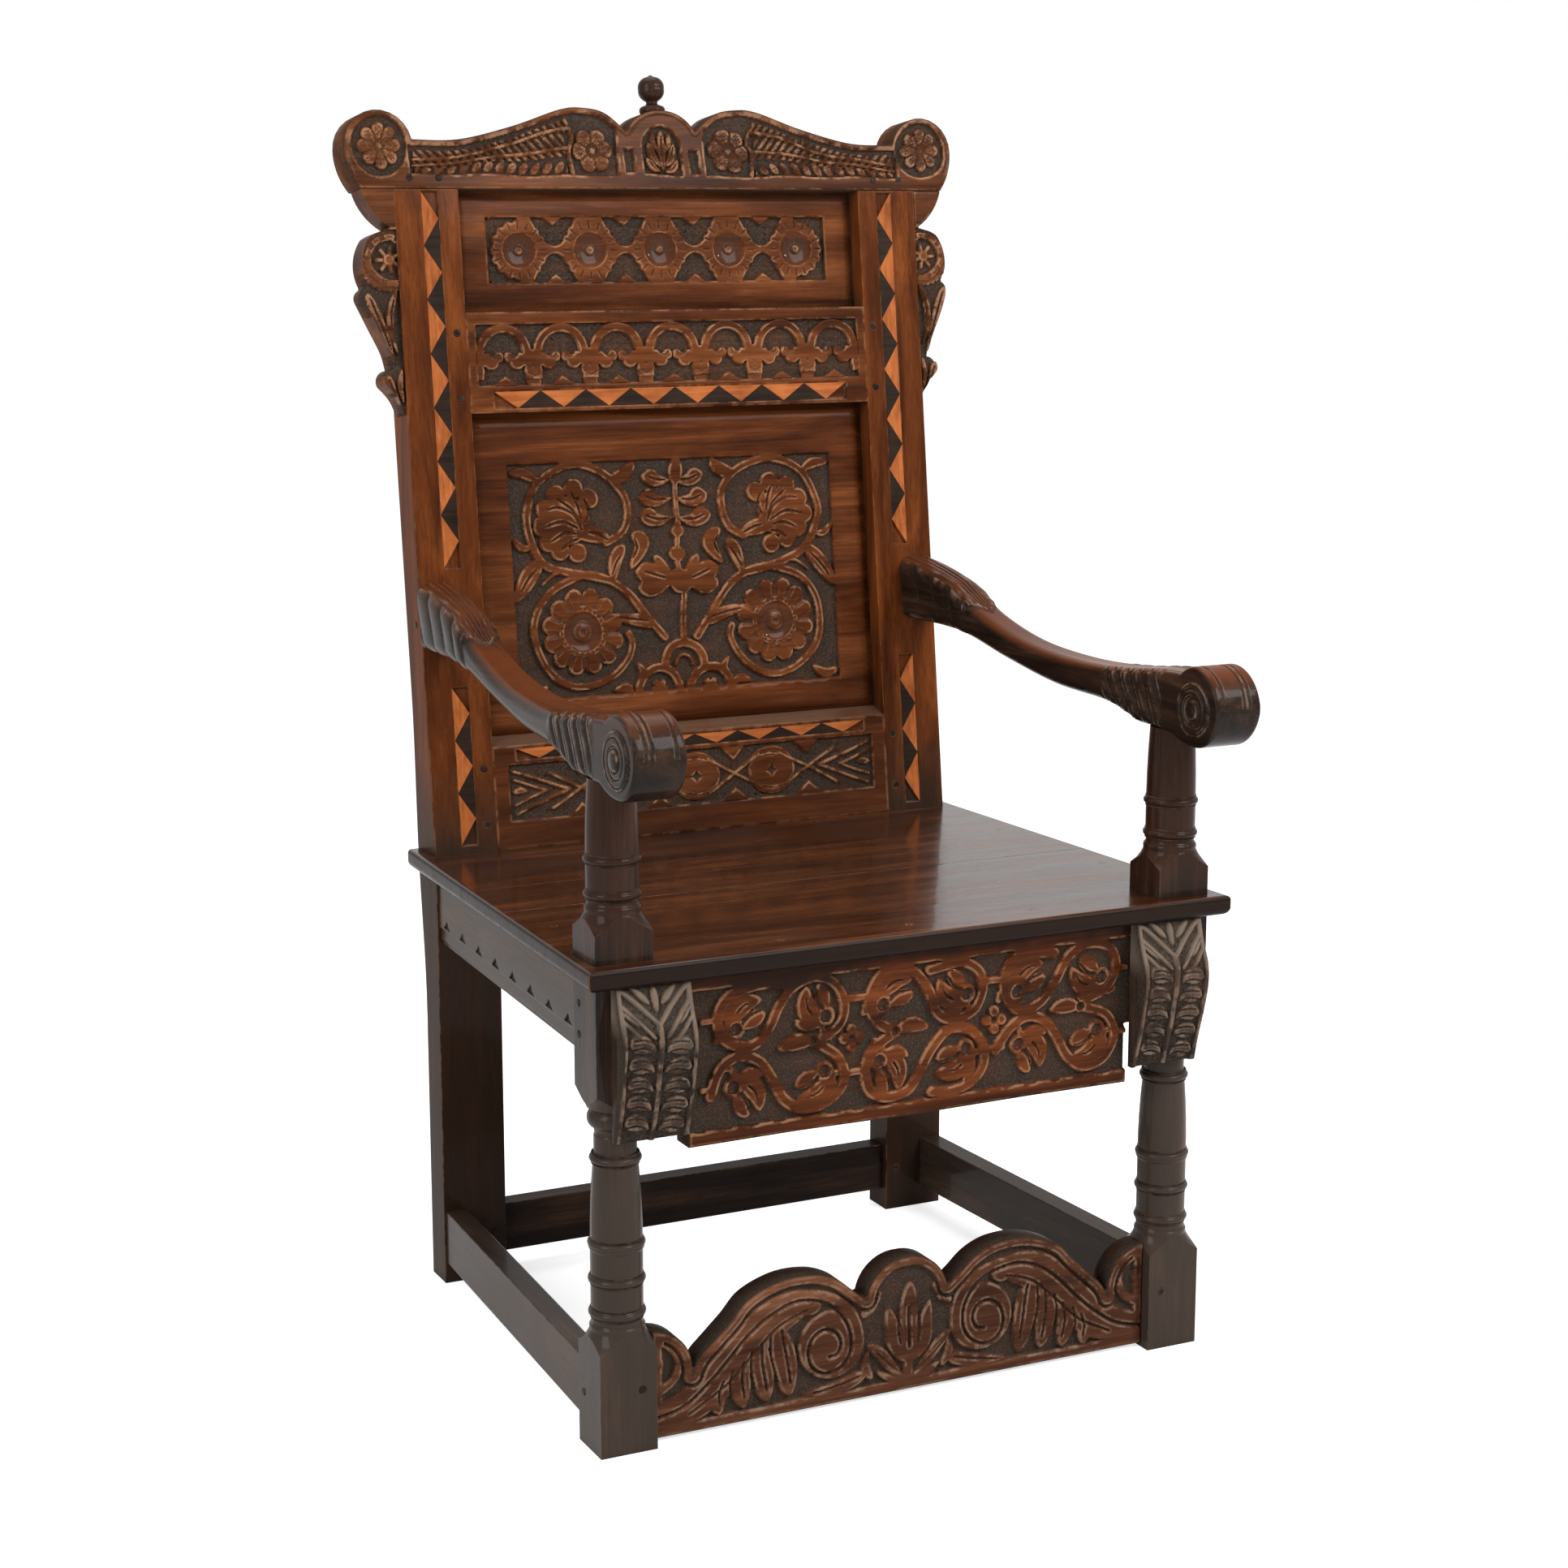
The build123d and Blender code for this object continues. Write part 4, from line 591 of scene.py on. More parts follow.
    return material


# %% The oaks of this chair
BLACK_OAK = ((0.009, 0.006, 0.005), (0.024, 0.013, 0.009), (0.058, 0.028, 0.016))
DARK_OAK = ((0.015, 0.009, 0.007), (0.035, 0.020, 0.013), (0.070, 0.038, 0.023))
ORANGE_OAK = ((0.050, 0.012, 0.003), (0.096, 0.024, 0.005), (0.145, 0.040, 0.009))
RED_OAK = ((0.050, 0.013, 0.004), (0.104, 0.029, 0.008), (0.165, 0.052, 0.016))
BROWN_OAK = ((0.020, 0.007, 0.003), (0.046, 0.014, 0.005), (0.086, 0.027, 0.008))
APRON_TONES = ((0.032, 0.008, 0.003), (0.070, 0.018, 0.005), (0.128, 0.034, 0.009))
STRETCHER_TONES = ((0.046, 0.015, 0.007), (0.088, 0.032, 0.015), (0.135, 0.056, 0.028))
CREST_TONES = ((0.036, 0.011, 0.004), (0.082, 0.025, 0.008), (0.140, 0.048, 0.016))
CORBEL_TONES = ((0.012, 0.008, 0.006), (0.034, 0.020, 0.014), (0.070, 0.042, 0.028))
CARVED_DIRT = (0.032, 0.023, 0.017)
DUSTY = (0.060, 0.043, 0.033)
SHADE = (0.012, 0.007, 0.005)
PALE = (0.240, 0.185, 0.140)
RUBBED_AND_LIT_RED = (0.33, 0.14, 0.06)
RUBBED_GLINT = (0.40, 0.21, 0.115)
RUBBED_AND_LIT_BROWN = (0.20, 0.135, 0.095)
RUBBED_AND_GLINT_PALE = (0.36, 0.24, 0.165)
COLUMN_RED = (0.034, 0.012, 0.006)
# Painted shade at the foot of the back, darker towards the seat.
BACK_FOOT = [(SEAT_TOP + 0.12, SEAT_TOP + 0.03, SHADE, 0.42)]
# The post turns darker towards the seat and below it.
post_oak = oak("post oak", "Z", ORANGE_OAK, RUBBED_AND_LIT_RED, zones=[(SEAT_TOP + 0.10, SEAT_TOP, DIRT, 0.88)])
leg_oak = oak("leg oak", "Z", BLACK_OAK, RUBBED_AND_LIT_BROWN, gloss=0.26, shine=0.10, wear_share=0.8, easing=0.0007,
              zones=[(SEAT_TOP - 0.05, SEAT_TOP - 0.20, DUSTY, 0.55),
                     (SEAT_TOP, SEAT_TOP + 0.03, COLUMN_RED, 0.5)])
# On the rails, the level faces and the wide eased arrises are lighter: partly wear, partly a painted
# highlight where the top edges catch the light.
rail_oak = oak("rail oak", "X", RED_OAK, RUBBED_AND_LIT_RED, wear_share=0.85, zones=BACK_FOOT,
               upward=(RUBBED_AND_LIT_BROWN, 0.3), easing=0.0045)
side_oak = oak("side rail oak", "Y", DARK_OAK, RUBBED_AND_LIT_BROWN, shine=0.10,
               zones=[(SEAT_TOP, SEAT_TOP - 0.1, DUSTY, 0.3)])
rear_oak = oak("rear oak", "X", BLACK_OAK, RUBBED_AND_LIT_BROWN)
seat_oak = oak("seat oak", "X", BROWN_OAK, RUBBED_AND_LIT_RED, gloss=0.2, shine=0.33, aside=(SHADE, 0.95))
peg_oak = oak("peg oak", "Y", BLACK_OAK, RUBBED_AND_LIT_BROWN)
carved_oak = oak("carved oak", "X", RED_OAK, RUBBED_GLINT, carved=True, dirt=CARVED_DIRT, wear_share=0.6,
                 zones=BACK_FOOT)
crest_oak = oak("crest oak", "X", CREST_TONES, RUBBED_GLINT, carved=True, dirt=CARVED_DIRT, wear_share=0.6)
# The top of the front rail is darkened: a painted shadow of the seat's edge.
apron_oak = oak("apron oak", "X", APRON_TONES, RUBBED_GLINT, carved=True, dirt=CARVED_DIRT, wear_share=0.5,
                zones=[(0.402, 0.416, SHADE, 0.8)])
# The stretcher's pale edges are partly wear, partly painted highlights.
stretcher_oak = oak("stretcher oak", "X", STRETCHER_TONES, RUBBED_AND_GLINT_PALE, carved=True, dirt=CARVED_DIRT,
                    wear_share=0.4, rim=(SHADE, 0.85))
corbel_oak = oak("corbel oak", "Z", CORBEL_TONES, RUBBED_AND_LIT_BROWN, carved=True, shine=0.08, wear_share=0.7,
                 zones=[(0.376, 0.396, PALE, 0.5)])
print("oak materials:", sum(m.name.endswith("oak") for m in bpy.data.materials))

# %% [markdown]
# ## The main panel
#
# The large panel is the carver's showpiece. A stalk rises from three arches, two pairs of stems curl away
# from it and close into rings, and each ring holds a flower: a leafy bloom above, a twelve-petalled
# rosette below. The left side mirrors the right, so most shapes are drawn once, on `a`, the distance from
# the middle. The whole board is remade, with its bevelled edge, because the carving covers most of it.

# %% Stems, blooms and rosettes
PANEL_DEPTH = 18.0
GROUND_DEPTH = 4.5
PANEL_BACK = 31.0
MAIN_FIELD = (-180, 180, 147, 382)
ROSETTE = (108.5, 211)
ROSETTE_HOLLOW = 20.5
ROSETTE_TURN = 0.26
PETALS = 12
BLOOM_LOBES = [(142, 337), (129, 351), (110, 356), (94, 346), (147, 320), (140, 305), (128, 295),
               (109, 291)]


def leafy_bloom(a, v):
    """A flower seen from the side: round lobes about a heart, on a thick stalk."""
    return most(
        disc(a, v, (119, 324), 25), *(disc(a, v, lobe, 10.8) for lobe in BLOOM_LOBES),
        leaf(a, v, [(116, 312), (94, 310), (72, 303)], 19, 0.5),
    )


def main_ground_up(u, v):
    u, v = by_hand(u, v, 0.7)
    a = np.abs(u)
    up_ring = [(121, 272), (147.5, 284), (162, 313.5), (162, 336.5), (147, 365), (112, 380), (79, 372),
               (57, 352), (53, 330), (60, 311), (77, 301)]
    low_ring = [(18, 200), (37, 224), (56, 248), (77, 262.6), (100, 268), (115.5, 265), (140.6, 254.6),
                (157.4, 233), (161, 207), (152, 180), (130, 160), (104, 155), (79, 164), (62, 181),
                (55.5, 197.5), (58.6, 208)]
    rings = stems(
        a, v, (up_ring, 9.8), (low_ring, 9.8, 8.5), ([(77, 262.6), (100, 267), (121, 272)], 9.8),
        ([(96, 268), (116, 272), (135, 272), (150, 262)], 7, 3),
    )
    sprays = leaves(
        a, v, ([(27, 213), (49, 221), (80, 227)], 15, 0.4), ([(50, 309), (38, 297), (52, 272)], 17, 0.45),
        ([(58, 298), (67, 284), (74, 258)], 16, 0.45), ([(148, 288), (163, 271), (181, 244)], 19),
        ([(42, 381), (55, 369), (74, 364)], 16), ([(145, 364), (163, 374), (180, 374)], 13),
        ([(150, 160), (164, 152), (180, 157)], 12), ([(158, 300), (170, 300), (181, 312)], 9),
        ([(52, 176), (46, 166), (52, 154)], 9),
    )
    stalk = most(
        stem(u, v, [(3, 198), (4, 230), (5, 248), (1, 271), (1, 291), (3, 314), (2, 330), (3, 372)], 8, 7),
        disc(u, v, (1, 286), 10.5) - 1.5 * np.abs(v - 286) / 6,
        disc(u, v, (2, 309), 8.5) - 1.2 * np.abs(v - 309) / 6,
    )
    crossing = most(
        leaves(a, v, ([(2, 251), (20, 262), (47, 270)], 24, 0.66),
               ([(10, 254), (28, 249), (44, 252)], 15, 0.6), ([(6, 260), (18, 275), (25, 285)], 12)),
        disc(a, v, (35, 268), 10.5), disc(a, v, (37, 253), 8.5), disc(u, v, (2, 258), 14),
    )
    lobes = most(
        leaves(a, v, ([(0, 323), (20, 320), (40, 326)], 17, 0.66),
               ([(0, 343), (19, 340), (38, 346)], 17, 0.66), ([(0, 362), (16, 361), (34, 368)], 16, 0.66)),
        leaf(u, v, [(3, 355), (3, 371), (4, 386)], 17), disc(a, v, (29, 324), 9.6),
        disc(a, v, (27, 344.5), 9.4), disc(a, v, (24, 365), 9.0),
    )
    arches = most(
        np.minimum(hoop(u, v, (2, 172), 22, 10.5), v - 166),
        np.minimum(hoop(u, v, (2, 172), 9.5, 4), v - 170),
        hoop(u, v, (-27, 146), 23, 10.5), hoop(u, v, (31, 145), 23, 10.5),
        flower(u, v, (-27, 149), 5, 10, 5, 0.3), flower(u, v, (31, 148), 5, 10, 5, 0.3),
        leaf(a, v, [(56, 146), (64, 152), (78, 149)], 11),
    )
    blooms = most(leafy_bloom(a, v), flower(a, v, ROSETTE, 37, 45, PETALS, ROSETTE_TURN))
    height = raised(most(rings, sprays, stalk, crossing, lobes, arches, blooms), GROUND_DEPTH, 1.3)
    height -= dish(a, v, ROSETTE, ROSETTE_HOLLOW, 3.4)
    height += dish(a, v, ROSETTE, 10.7, 3.6)
    height -= dish(a, v, ROSETTE, 3.0, 1.6)
    around = np.arctan2(v - ROSETTE[1], a - ROSETTE[0])
    out = np.hypot(a - ROSETTE[0], v - ROSETTE[1])
    between = np.abs(np.sin((around + ROSETTE_TURN) * PETALS / 2)) * out / 6
    height -= notch(between - out / 6, 1.6, 1.4) * (out > 26) * (out < 42) * (a < 160)
    height -= notch(out - 22.5, 1.6, 0.9) * (np.cos(around * 26) > 0.1)
    for points, wide in (
        ([(104, 314), (112, 330), (127, 338), (140, 337)], 3.4), ([(106, 322), (113, 335), (128, 347)], 3.4),
        ([(104, 326), (107, 340), (112, 352)], 3.4), ([(100, 322), (95, 334), (99, 345)], 3.4),
        ([(108, 316), (126, 324), (145, 320)], 3.4), ([(110, 311), (124, 312), (139, 305)], 3.4),
        ([(108, 305), (117, 303), (127, 296)], 3.4), ([(98, 312), (88, 310), (76, 304)], 3.4),
        ([(34, 218), (52, 222), (70, 225)], 2.6), ([(47, 303), (44, 293), (49, 283)], 2.6),
        ([(154, 279), (164, 269), (174, 255)], 3), ([(61, 288), (67, 280), (73, 268)], 2.6),
        ([(8, 322), (20, 321), (33, 325)], 3), ([(8, 342), (20, 341), (31, 345)], 3),
        ([(8, 362), (17, 362), (27, 366)], 3), ([(14, 261), (26, 265), (38, 269)], 3),
    ):
        height -= cut(a, v, points, wide, 3.0)
    height -= cut(u, v, [(3, 206), (4, 230), (4, 246)], 2.2, 1.6)
    return height


# %% A sunk field and a bevelled edge
def framed(carving, field, depth, waver=0.4):
    """A carved field sunk in a plain board: outside the field the board keeps its level."""
    def height(u, v):
        ragged = waver * (0.5 * np.sin(u / 3.1) + 0.5 * np.sin(v / 2.7 + u / 9))
        sunk = board(u, v, *field) + ragged
        floor = 0.5 * tooling(u, v) * np.clip(sunk / 2, 0, 1)
        return most(carving(u, v), floor, raised(-sunk, depth, 1.6))
    return height


def field_edge(field):
    """1 outside a field and along its edge, and 0 from a few millimetres inside it."""
    return lambda u, v: np.clip(2 - board(u, v, *field) / 2.5, 0, 1)


def rosette_hollows(u, v):
    """Where years of waxing have pooled and shade is painted in: 1 inside the turned hollows of the rosettes.
    """
    return np.clip(disc(np.abs(u), v, ROSETTE, ROSETTE_HOLLOW) / 2, 0, 1)


def bevelled(half_wide, low, high, slope=9.0, drop=5.0):
    """The thinned edge that lets a panel slide into its grooves."""
    def level(u, v):
        edge = board(u, v, -half_wide, half_wide, low, high)
        return -PANEL_DEPTH - GROUND_DEPTH - drop * np.clip(1 - edge / slope, 0, 1)
    return level


# %% Making the main panel
main_panel = sheet(
    "carved_main_panel", marks((-226, 5), (-211, 5), (-182, 1.1), (182, 5), (211, 5), 226),
    marks((108, 5), (122, 5), (145, 1.1), (384, 5), (425, 5), 439),
)
carve(
    main_panel, BACK, framed(main_ground_up, MAIN_FIELD, GROUND_DEPTH), GROUND_DEPTH,
    base=bevelled(220.5, 113.5, 433.5), flat_back=PANEL_BACK, polish_and_shade=rosette_hollows,
    fresh=field_edge(MAIN_FIELD),
)
dress(main_panel, carved_oak, "main_panel")

# %% [markdown]
# ## The upper panel, the arcade and the lower rail
#
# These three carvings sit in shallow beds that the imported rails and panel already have. Each is made as a
# thin board that fills its bed: the drawing is the same kind of work as the main panel, only smaller. The
# rosettes are turned hollows with a button left standing, the arcade is seven arches that share their
# feet, and the lower rail is a row of lozenges and crosses cut with straight V-shaped strokes.

# %% Five hollow rosettes
PROUD = 0.15
BED = 1.0
ROW_MIDDLE, ROW_PITCH, ROW_HOLLOW = 595.5, 77, 17.6


def rosette_row(u, v):
    u, v = by_hand(u, v, 0.35)
    middle, pitch = ROW_MIDDLE, ROW_PITCH
    bay = np.abs(u - pitch * np.rint(u / pitch))
    link = np.abs(u / pitch - np.rint(u / pitch)) * pitch
    out = np.hypot(bay, v - middle)
    around = np.arctan2(v - middle, u - pitch * np.rint(np.clip(u / pitch, -2, 2)))
    petals = 28 + 2.6 * np.abs(np.cos(8 * around)) - out
    waist = 4.4 + 0.05 * (pitch / 2 - link) ** 2 * (link < pitch / 2)
    bar = np.where(np.abs(u) < 2 * pitch, waist - np.abs(v - middle), -FAR)
    tip = (pitch / 2 - link) / 1.1
    top_leaf = 11 - tip - (628 - v) * 1.25
    low_leaf = 11 - tip - (v - 563) * 1.25
    points = np.where(np.abs(u) < 2 * pitch + 30, np.maximum(top_leaf, low_leaf), -FAR)
    height = raised(most(petals, bar, points), GROUND_DEPTH, 1.3)
    height -= notch(np.sin(8 * around) * out / 8, 1.1, 1.5) * (out > 21.5) * (out < 29)
    height -= bowl(out, ROW_HOLLOW, 3.9)
    height += bowl(out, 4.8, 3.4)
    return height - notch(out, 1.8, 1.0)


# 1 in the hollows of the row's rosettes, which shine and are darkened: pooled wax and painted shade.
def row_hollows(u, v):
    bay = u - ROW_PITCH * np.rint(u / ROW_PITCH)
    return np.clip(disc(bay, v, (0, ROW_MIDDLE), ROW_HOLLOW) / 2, 0, 1)


def bedded(name, carving, field, depth, face_depth, step, waver=0.8, polish_and_shade=None):
    """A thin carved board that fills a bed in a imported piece."""
    u_low, u_high, v_low, v_high = field
    obj = sheet(name, marks((u_low - BED, step), u_high + BED), marks((v_low - BED, step), v_high + BED))
    carve(
        obj, BACK, framed(carving, field, depth + PROUD, waver), depth, base=-face_depth - depth,
        flat_back=face_depth + depth + BED, polish_and_shade=polish_and_shade, fresh=field_edge(field),
    )
    return dress(obj, carved_oak)


bedded(
    "carved_upper_panel", rosette_row, (-188, 188, 563, 628), GROUND_DEPTH, PANEL_DEPTH, 1.0,
    polish_and_shade=row_hollows,
)


# %% [markdown]
# The arcade repeats one bay seven times. The place across is folded into a single bay, so an arch, its
# foot and the small lobes under it are drawn only once.

# %% Seven arches
def arcade(u, v):
    u, v = by_hand(u, v, 0.35)
    pitch = 61.0
    x = np.abs(u - pitch * np.rint(u / pitch))
    spring = 492.0
    arch = np.where(v > spring, 5.2 - np.abs(np.hypot(x, v - spring) - 25), 5.2 - np.abs(x - 25))
    arch = np.where(v < spring - 10, -FAR, arch)
    foot = most(
        10.2 - np.hypot(x - pitch / 2, (v - 475.5) * 1.15), board(x, v, pitch / 2 - 9.2, FAR, 466, 497),
    )
    lobes = most(
        8.2 - np.hypot(x - 13.5, (v - 483) * 1.1),
        5.6 - np.hypot(x - 5.2, v - 488.5),
        4.6 - np.hypot(x - 18, v - 489),
        np.minimum(5.5 - np.abs(v - 484.5), x - 14),
    )
    lobes = np.where((v < 500) & (v > 470), lobes, -FAR)
    base = 8.6 - x * 0.62 - (v - 461) * 1.0
    height = raised(most(arch, foot, lobes, base), GROUND_DEPTH, 1.3)
    height -= notch(np.hypot(x, (v - 483.5) / 2.5), 2.2, 1.9)
    height -= notch(np.hypot(x - 9.5, v - 492.5) - 4.5, 1.2, 1.4)
    height -= notch(np.hypot(x - pitch / 2, v - 480), 2.0, 1.2)
    return height - notch(v - 470 - 0.5 * np.abs(x - pitch / 2), 1.2, 1.0) * (x > 24)


bedded("carved_arcade", arcade, (-211.5, 211.5, 461, 521), GROUND_DEPTH, 0.0, 1.0, 0.4)


# %% [markdown]
# The lower rail's strokes are straight and cross each other. Ovals with a star sunk into them sit between
# the crosses, and chevrons point to the ends.

# %% Lozenges, crosses and chevrons
LOWER_DEPTH = 3.0


def lower_pattern(u, v):
    u, v = by_hand(u, v, 0.5)
    a = np.abs(u)
    ovals = most(27 - np.hypot(u, (v - 56) * 1.42), 27 - np.hypot(a - 86, (v - 56) * 1.42))
    strokes = stems(
        a, v,
        ([(14, 73), (43, 55.5), (73, 38)], 4.4), ([(14, 38), (43, 55.5), (73, 73)], 4.4),
        ([(97, 73), (128, 55.5), (160, 38)], 4.4), ([(97, 38), (128, 55.5), (160, 73)], 4.4),
        ([(141, 56), (170, 66), (201, 77)], 5, 4), ([(141, 56), (168, 46), (198, 34)], 5, 4),
        ([(166, 56), (184, 62), (199, 68)], 4.4, 3.6), ([(166, 56), (184, 49), (200, 43)], 4.4, 3.6),
    )
    bud = leaf(a, v, [(186, 56), (192, 57), (202, 56)], 8, 0.6)
    triangles = most(
        14 - np.abs(a - 43) * 0.9 - (84 - v) * 0.9, 12 - np.abs(a - 43) * 0.8 - (v - 28) * 0.9,
        14 - np.abs(a - 128) * 0.9 - (84 - v) * 0.9, 12 - np.abs(a - 128) * 0.8 - (v - 28) * 0.9,
    )
    height = raised(most(ovals, strokes, bud, triangles), LOWER_DEPTH, 1.2)
    for at in (0, 86):
        x = np.abs(np.where(at, a - at, u))
        y = np.abs(v - 56)
        star = 9.5 - x - y - 0.9 * np.sqrt(x * y + 0.01) * 1.6
        height -= 2.4 * np.clip(star / 4, 0, 1)
        height -= notch(np.hypot(x, y * 1.42) - 23, 1.2, 0.8)
    return height


bedded("carved_lower_rail", lower_pattern, (-205, 205, 28, 84), LOWER_DEPTH, 0.0, 1.2, 0.5)

# %% [markdown]
# ## The crest
#
# The crest rail is sawn to a wavy outline and carved on its face. Its outline is drawn once for the right
# half and mirrored. A border follows the outline at an even width. Inside it are a roundel with a flower
# at each end, gouged bands that run towards the middle, two rosettes, and a small niche with a leaf
# between two slots.

# %% Outlines that are mirrored
def arc(start, through, end, steps=12):
    """Points of a circular arc through three points, without the last one."""
    (ax, ay), (bx, by), (cx, cy) = start, through, end
    d = 2 * (ax * (by - cy) + bx * (cy - ay) + cx * (ay - by))
    a2, b2, c2 = ax**2 + ay**2, bx**2 + by**2, cx**2 + cy**2
    x = (a2 * (by - cy) + b2 * (cy - ay) + c2 * (ay - by)) / d
    y = (a2 * (cx - bx) + b2 * (ax - cx) + c2 * (bx - ax)) / d
    first, last = (math.atan2(py - y, px - x) for px, py in (start, end))
    turn = (last - first) % (2 * math.pi)
    if (math.atan2(by - y, bx - x) - first) % (2 * math.pi) > turn:
        turn -= 2 * math.pi
    angle = first + turn * np.linspace(0, 1, steps, endpoint=False)
    radius = math.hypot(ax - x, ay - y)
    return np.column_stack([x + radius * np.cos(angle), y + radius * np.sin(angle)])


def both_halves(right):
    """Closes a right half that starts and ends on the middle line."""
    right = np.vstack(right)
    left = right[::-1] * (-1, 1)
    return np.vstack([right, left[right[::-1][:, 0] > 0.01]])


# %% The crest's outline
CREST_LOW = 653
CREST_BACK = 38.0
ROUNDEL = (298, 695)
CREST_ROSE = (75, 692.5)
hump = smooth([(265, 701), (217, 701.5), (160, 715), (108.6, 732), (83.5, 734), (60, 729), (38, 711.5)])
crest_line = both_halves([
    [(0, CREST_LOW), (160, CREST_LOW)],
    arc((320, CREST_LOW), (330.5, 672), (334, 694)), arc((334, 694), (299, 729), (265, 701)),
    hump[:-1], arc((38, 711.5), (21, 728), (0, 732.5)), [(0, 732.5)],
])


# %% The crest's carving
def crest_carving(u, v):
    rim = onto(u, v, crest_line)[0]
    u, v = by_hand(u, v, 0.9)
    a = np.abs(u)
    roundel = disc(a, v, ROUNDEL, 28)
    arched = np.where(v > 696, 20 - np.hypot(a, v - 696), 20 - a)
    niche = np.minimum(arched, v - 669)
    slot = board(a, v, 31, 40, 670, 692)
    bays = np.minimum.reduce([rim - 6.5, v - 668, a - 49, 268 - a])
    sunk = most(roundel, niche, slot, bays)
    plain = raised(-sunk, GROUND_DEPTH, 1.2)
    around = np.arctan2(v - CREST_ROSE[1], a - CREST_ROSE[0])
    out = np.hypot(a - CREST_ROSE[0], v - CREST_ROSE[1])
    petals = 17.5 + 5.0 * np.abs(np.cos(3 * around + 0.3)) ** 0.7 - out
    ribs = stems(
        a, v, ([(100, 713), (133, 707), (165, 696), (200, 687), (264, 681)], 5.0, 4.0),
        ([(101, 694), (150, 688), (200, 681), (266, 675)], 4.6, 3.6),
        ([(104, 720), (96, 704), (101, 690), (99, 669)], 5.0),
    )
    top = 690 - (a - 101) * 0.092
    within = (a > 104) & (a < 264)
    lean = a + (v - 675) * 0.45
    step = 12.5 * (lean / 12.5 - np.rint(lean / 12.5))
    beads = 6.3 - np.hypot(step * 1.15, (v - 674.5 + (a - 106) * 0.01) * 0.85)
    beads = np.where(within & (v < top - 3), beads, -FAR)
    lean = a - (v - 690) * 0.9
    step = 9.5 * (lean / 9.5 - np.rint(lean / 9.5))
    feathers = np.where(within & (v > top - 4), 4.2 - np.abs(step) * 1.15, -FAR)
    feathers = np.minimum(feathers, rim - 9)
    spray = most(
        leaf(u, v, [(0, 671), (0, 690), (0, 713)], 10, 0.6),
        leaves(a, v, ([(1, 676), (9, 684), (14, 700)], 9, 0.6), ([(1, 671), (10, 674), (17, 684)], 8, 0.6),
               ([(1, 688), (8, 698), (9, 710)], 7, 0.6)),
    )
    turn = np.arctan2(v - ROUNDEL[1], a - ROUNDEL[0])
    away = np.hypot(a - ROUNDEL[0], v - ROUNDEL[1])
    bloom = 16.5 + 6.5 * np.abs(np.cos(4 * turn)) ** 0.6 - away
    height = most(plain, raised(most(petals, ribs, spray), GROUND_DEPTH, 1.3), raised(beads, 3.8, 3.0),
                  raised(feathers, 3.0, 2.4), raised(bloom, GROUND_DEPTH, 2.2))
    petal_cuts = notch(np.sin(3 * around + 0.3 + np.pi / 2) * out / 3, 1.5, 1.6)
    height -= petal_cuts * (out < 22) * (out > 8)
    height -= bowl(out, 8.2, 3.2)
    height += bowl(out, 3.8, 3.2)
    height -= notch(np.cos(4 * turn) * away / 4, 1.1, 1.6) * (away < 22) * (away > 6)
    height -= bowl(away, 6.5, 2.2)
    height += bowl(away, 3.4, 2.4)
    for line, wide in (
        ([(0, 674), (0, 690), (0, 709)], 2.4), ([(3, 678), (9, 685), (13, 697)], 2.2),
        ([(3, 672), (10, 675), (16, 682)], 2.0),
    ):
        height -= cut(a, v, line, wide, 1.8)
    edge_line = notch(rim - 5.2, 0.9, 0.9) * (v > 668)
    nicked = 0.6 * tooling(1.4 * u, 1.3 * v) * (sunk > 0) * (height > 1.5)
    carved = np.maximum(height - nicked, 0.5 * tooling(u, v))
    return carved - edge_line * (height > 4) - eased_edge(rim, 1.6, 1.1)


crest = sheet("carved_crest", marks((-336, 1.2), 336), marks((651, 1.2), 735), crest_line)
carve(crest, BACK, crest_carving, GROUND_DEPTH, base=-GROUND_DEPTH, flat_back=CREST_BACK)
dress(crest, crest_oak, "crest_rail")

# %% [markdown]
# ## The ears under the crest
#
# Below each end of the crest hangs a bracket, pegged to the outside of the post. Its top continues the
# crest's scroll and is left plain. Below that it turns into a curl and a hanging leaf.

# %% Ears
EAR_BACK = 32.0
EAR_DEPTH = 5.0
EAR_SHELF = 613
EAR_CURL = (296, 585)
ear_line = np.vstack([
    [(287, 653)], arc((320, 653), (309, 631), (289.5, 614.5)), arc((289.5, 614.5), (301, 613), (314, 607)),
    arc((314, 607), (323, 581), (318, 559)), arc((318, 559), (323.5, 554), (323.5, 546)),
    smooth([(323.5, 546), (312, 521), (301, 497), (297, 480)])[:-1], arc((297, 480), (306, 474), (306, 464)),
    smooth([(306, 464), (295, 451), (288.5, 435), (287, 424)]),
])


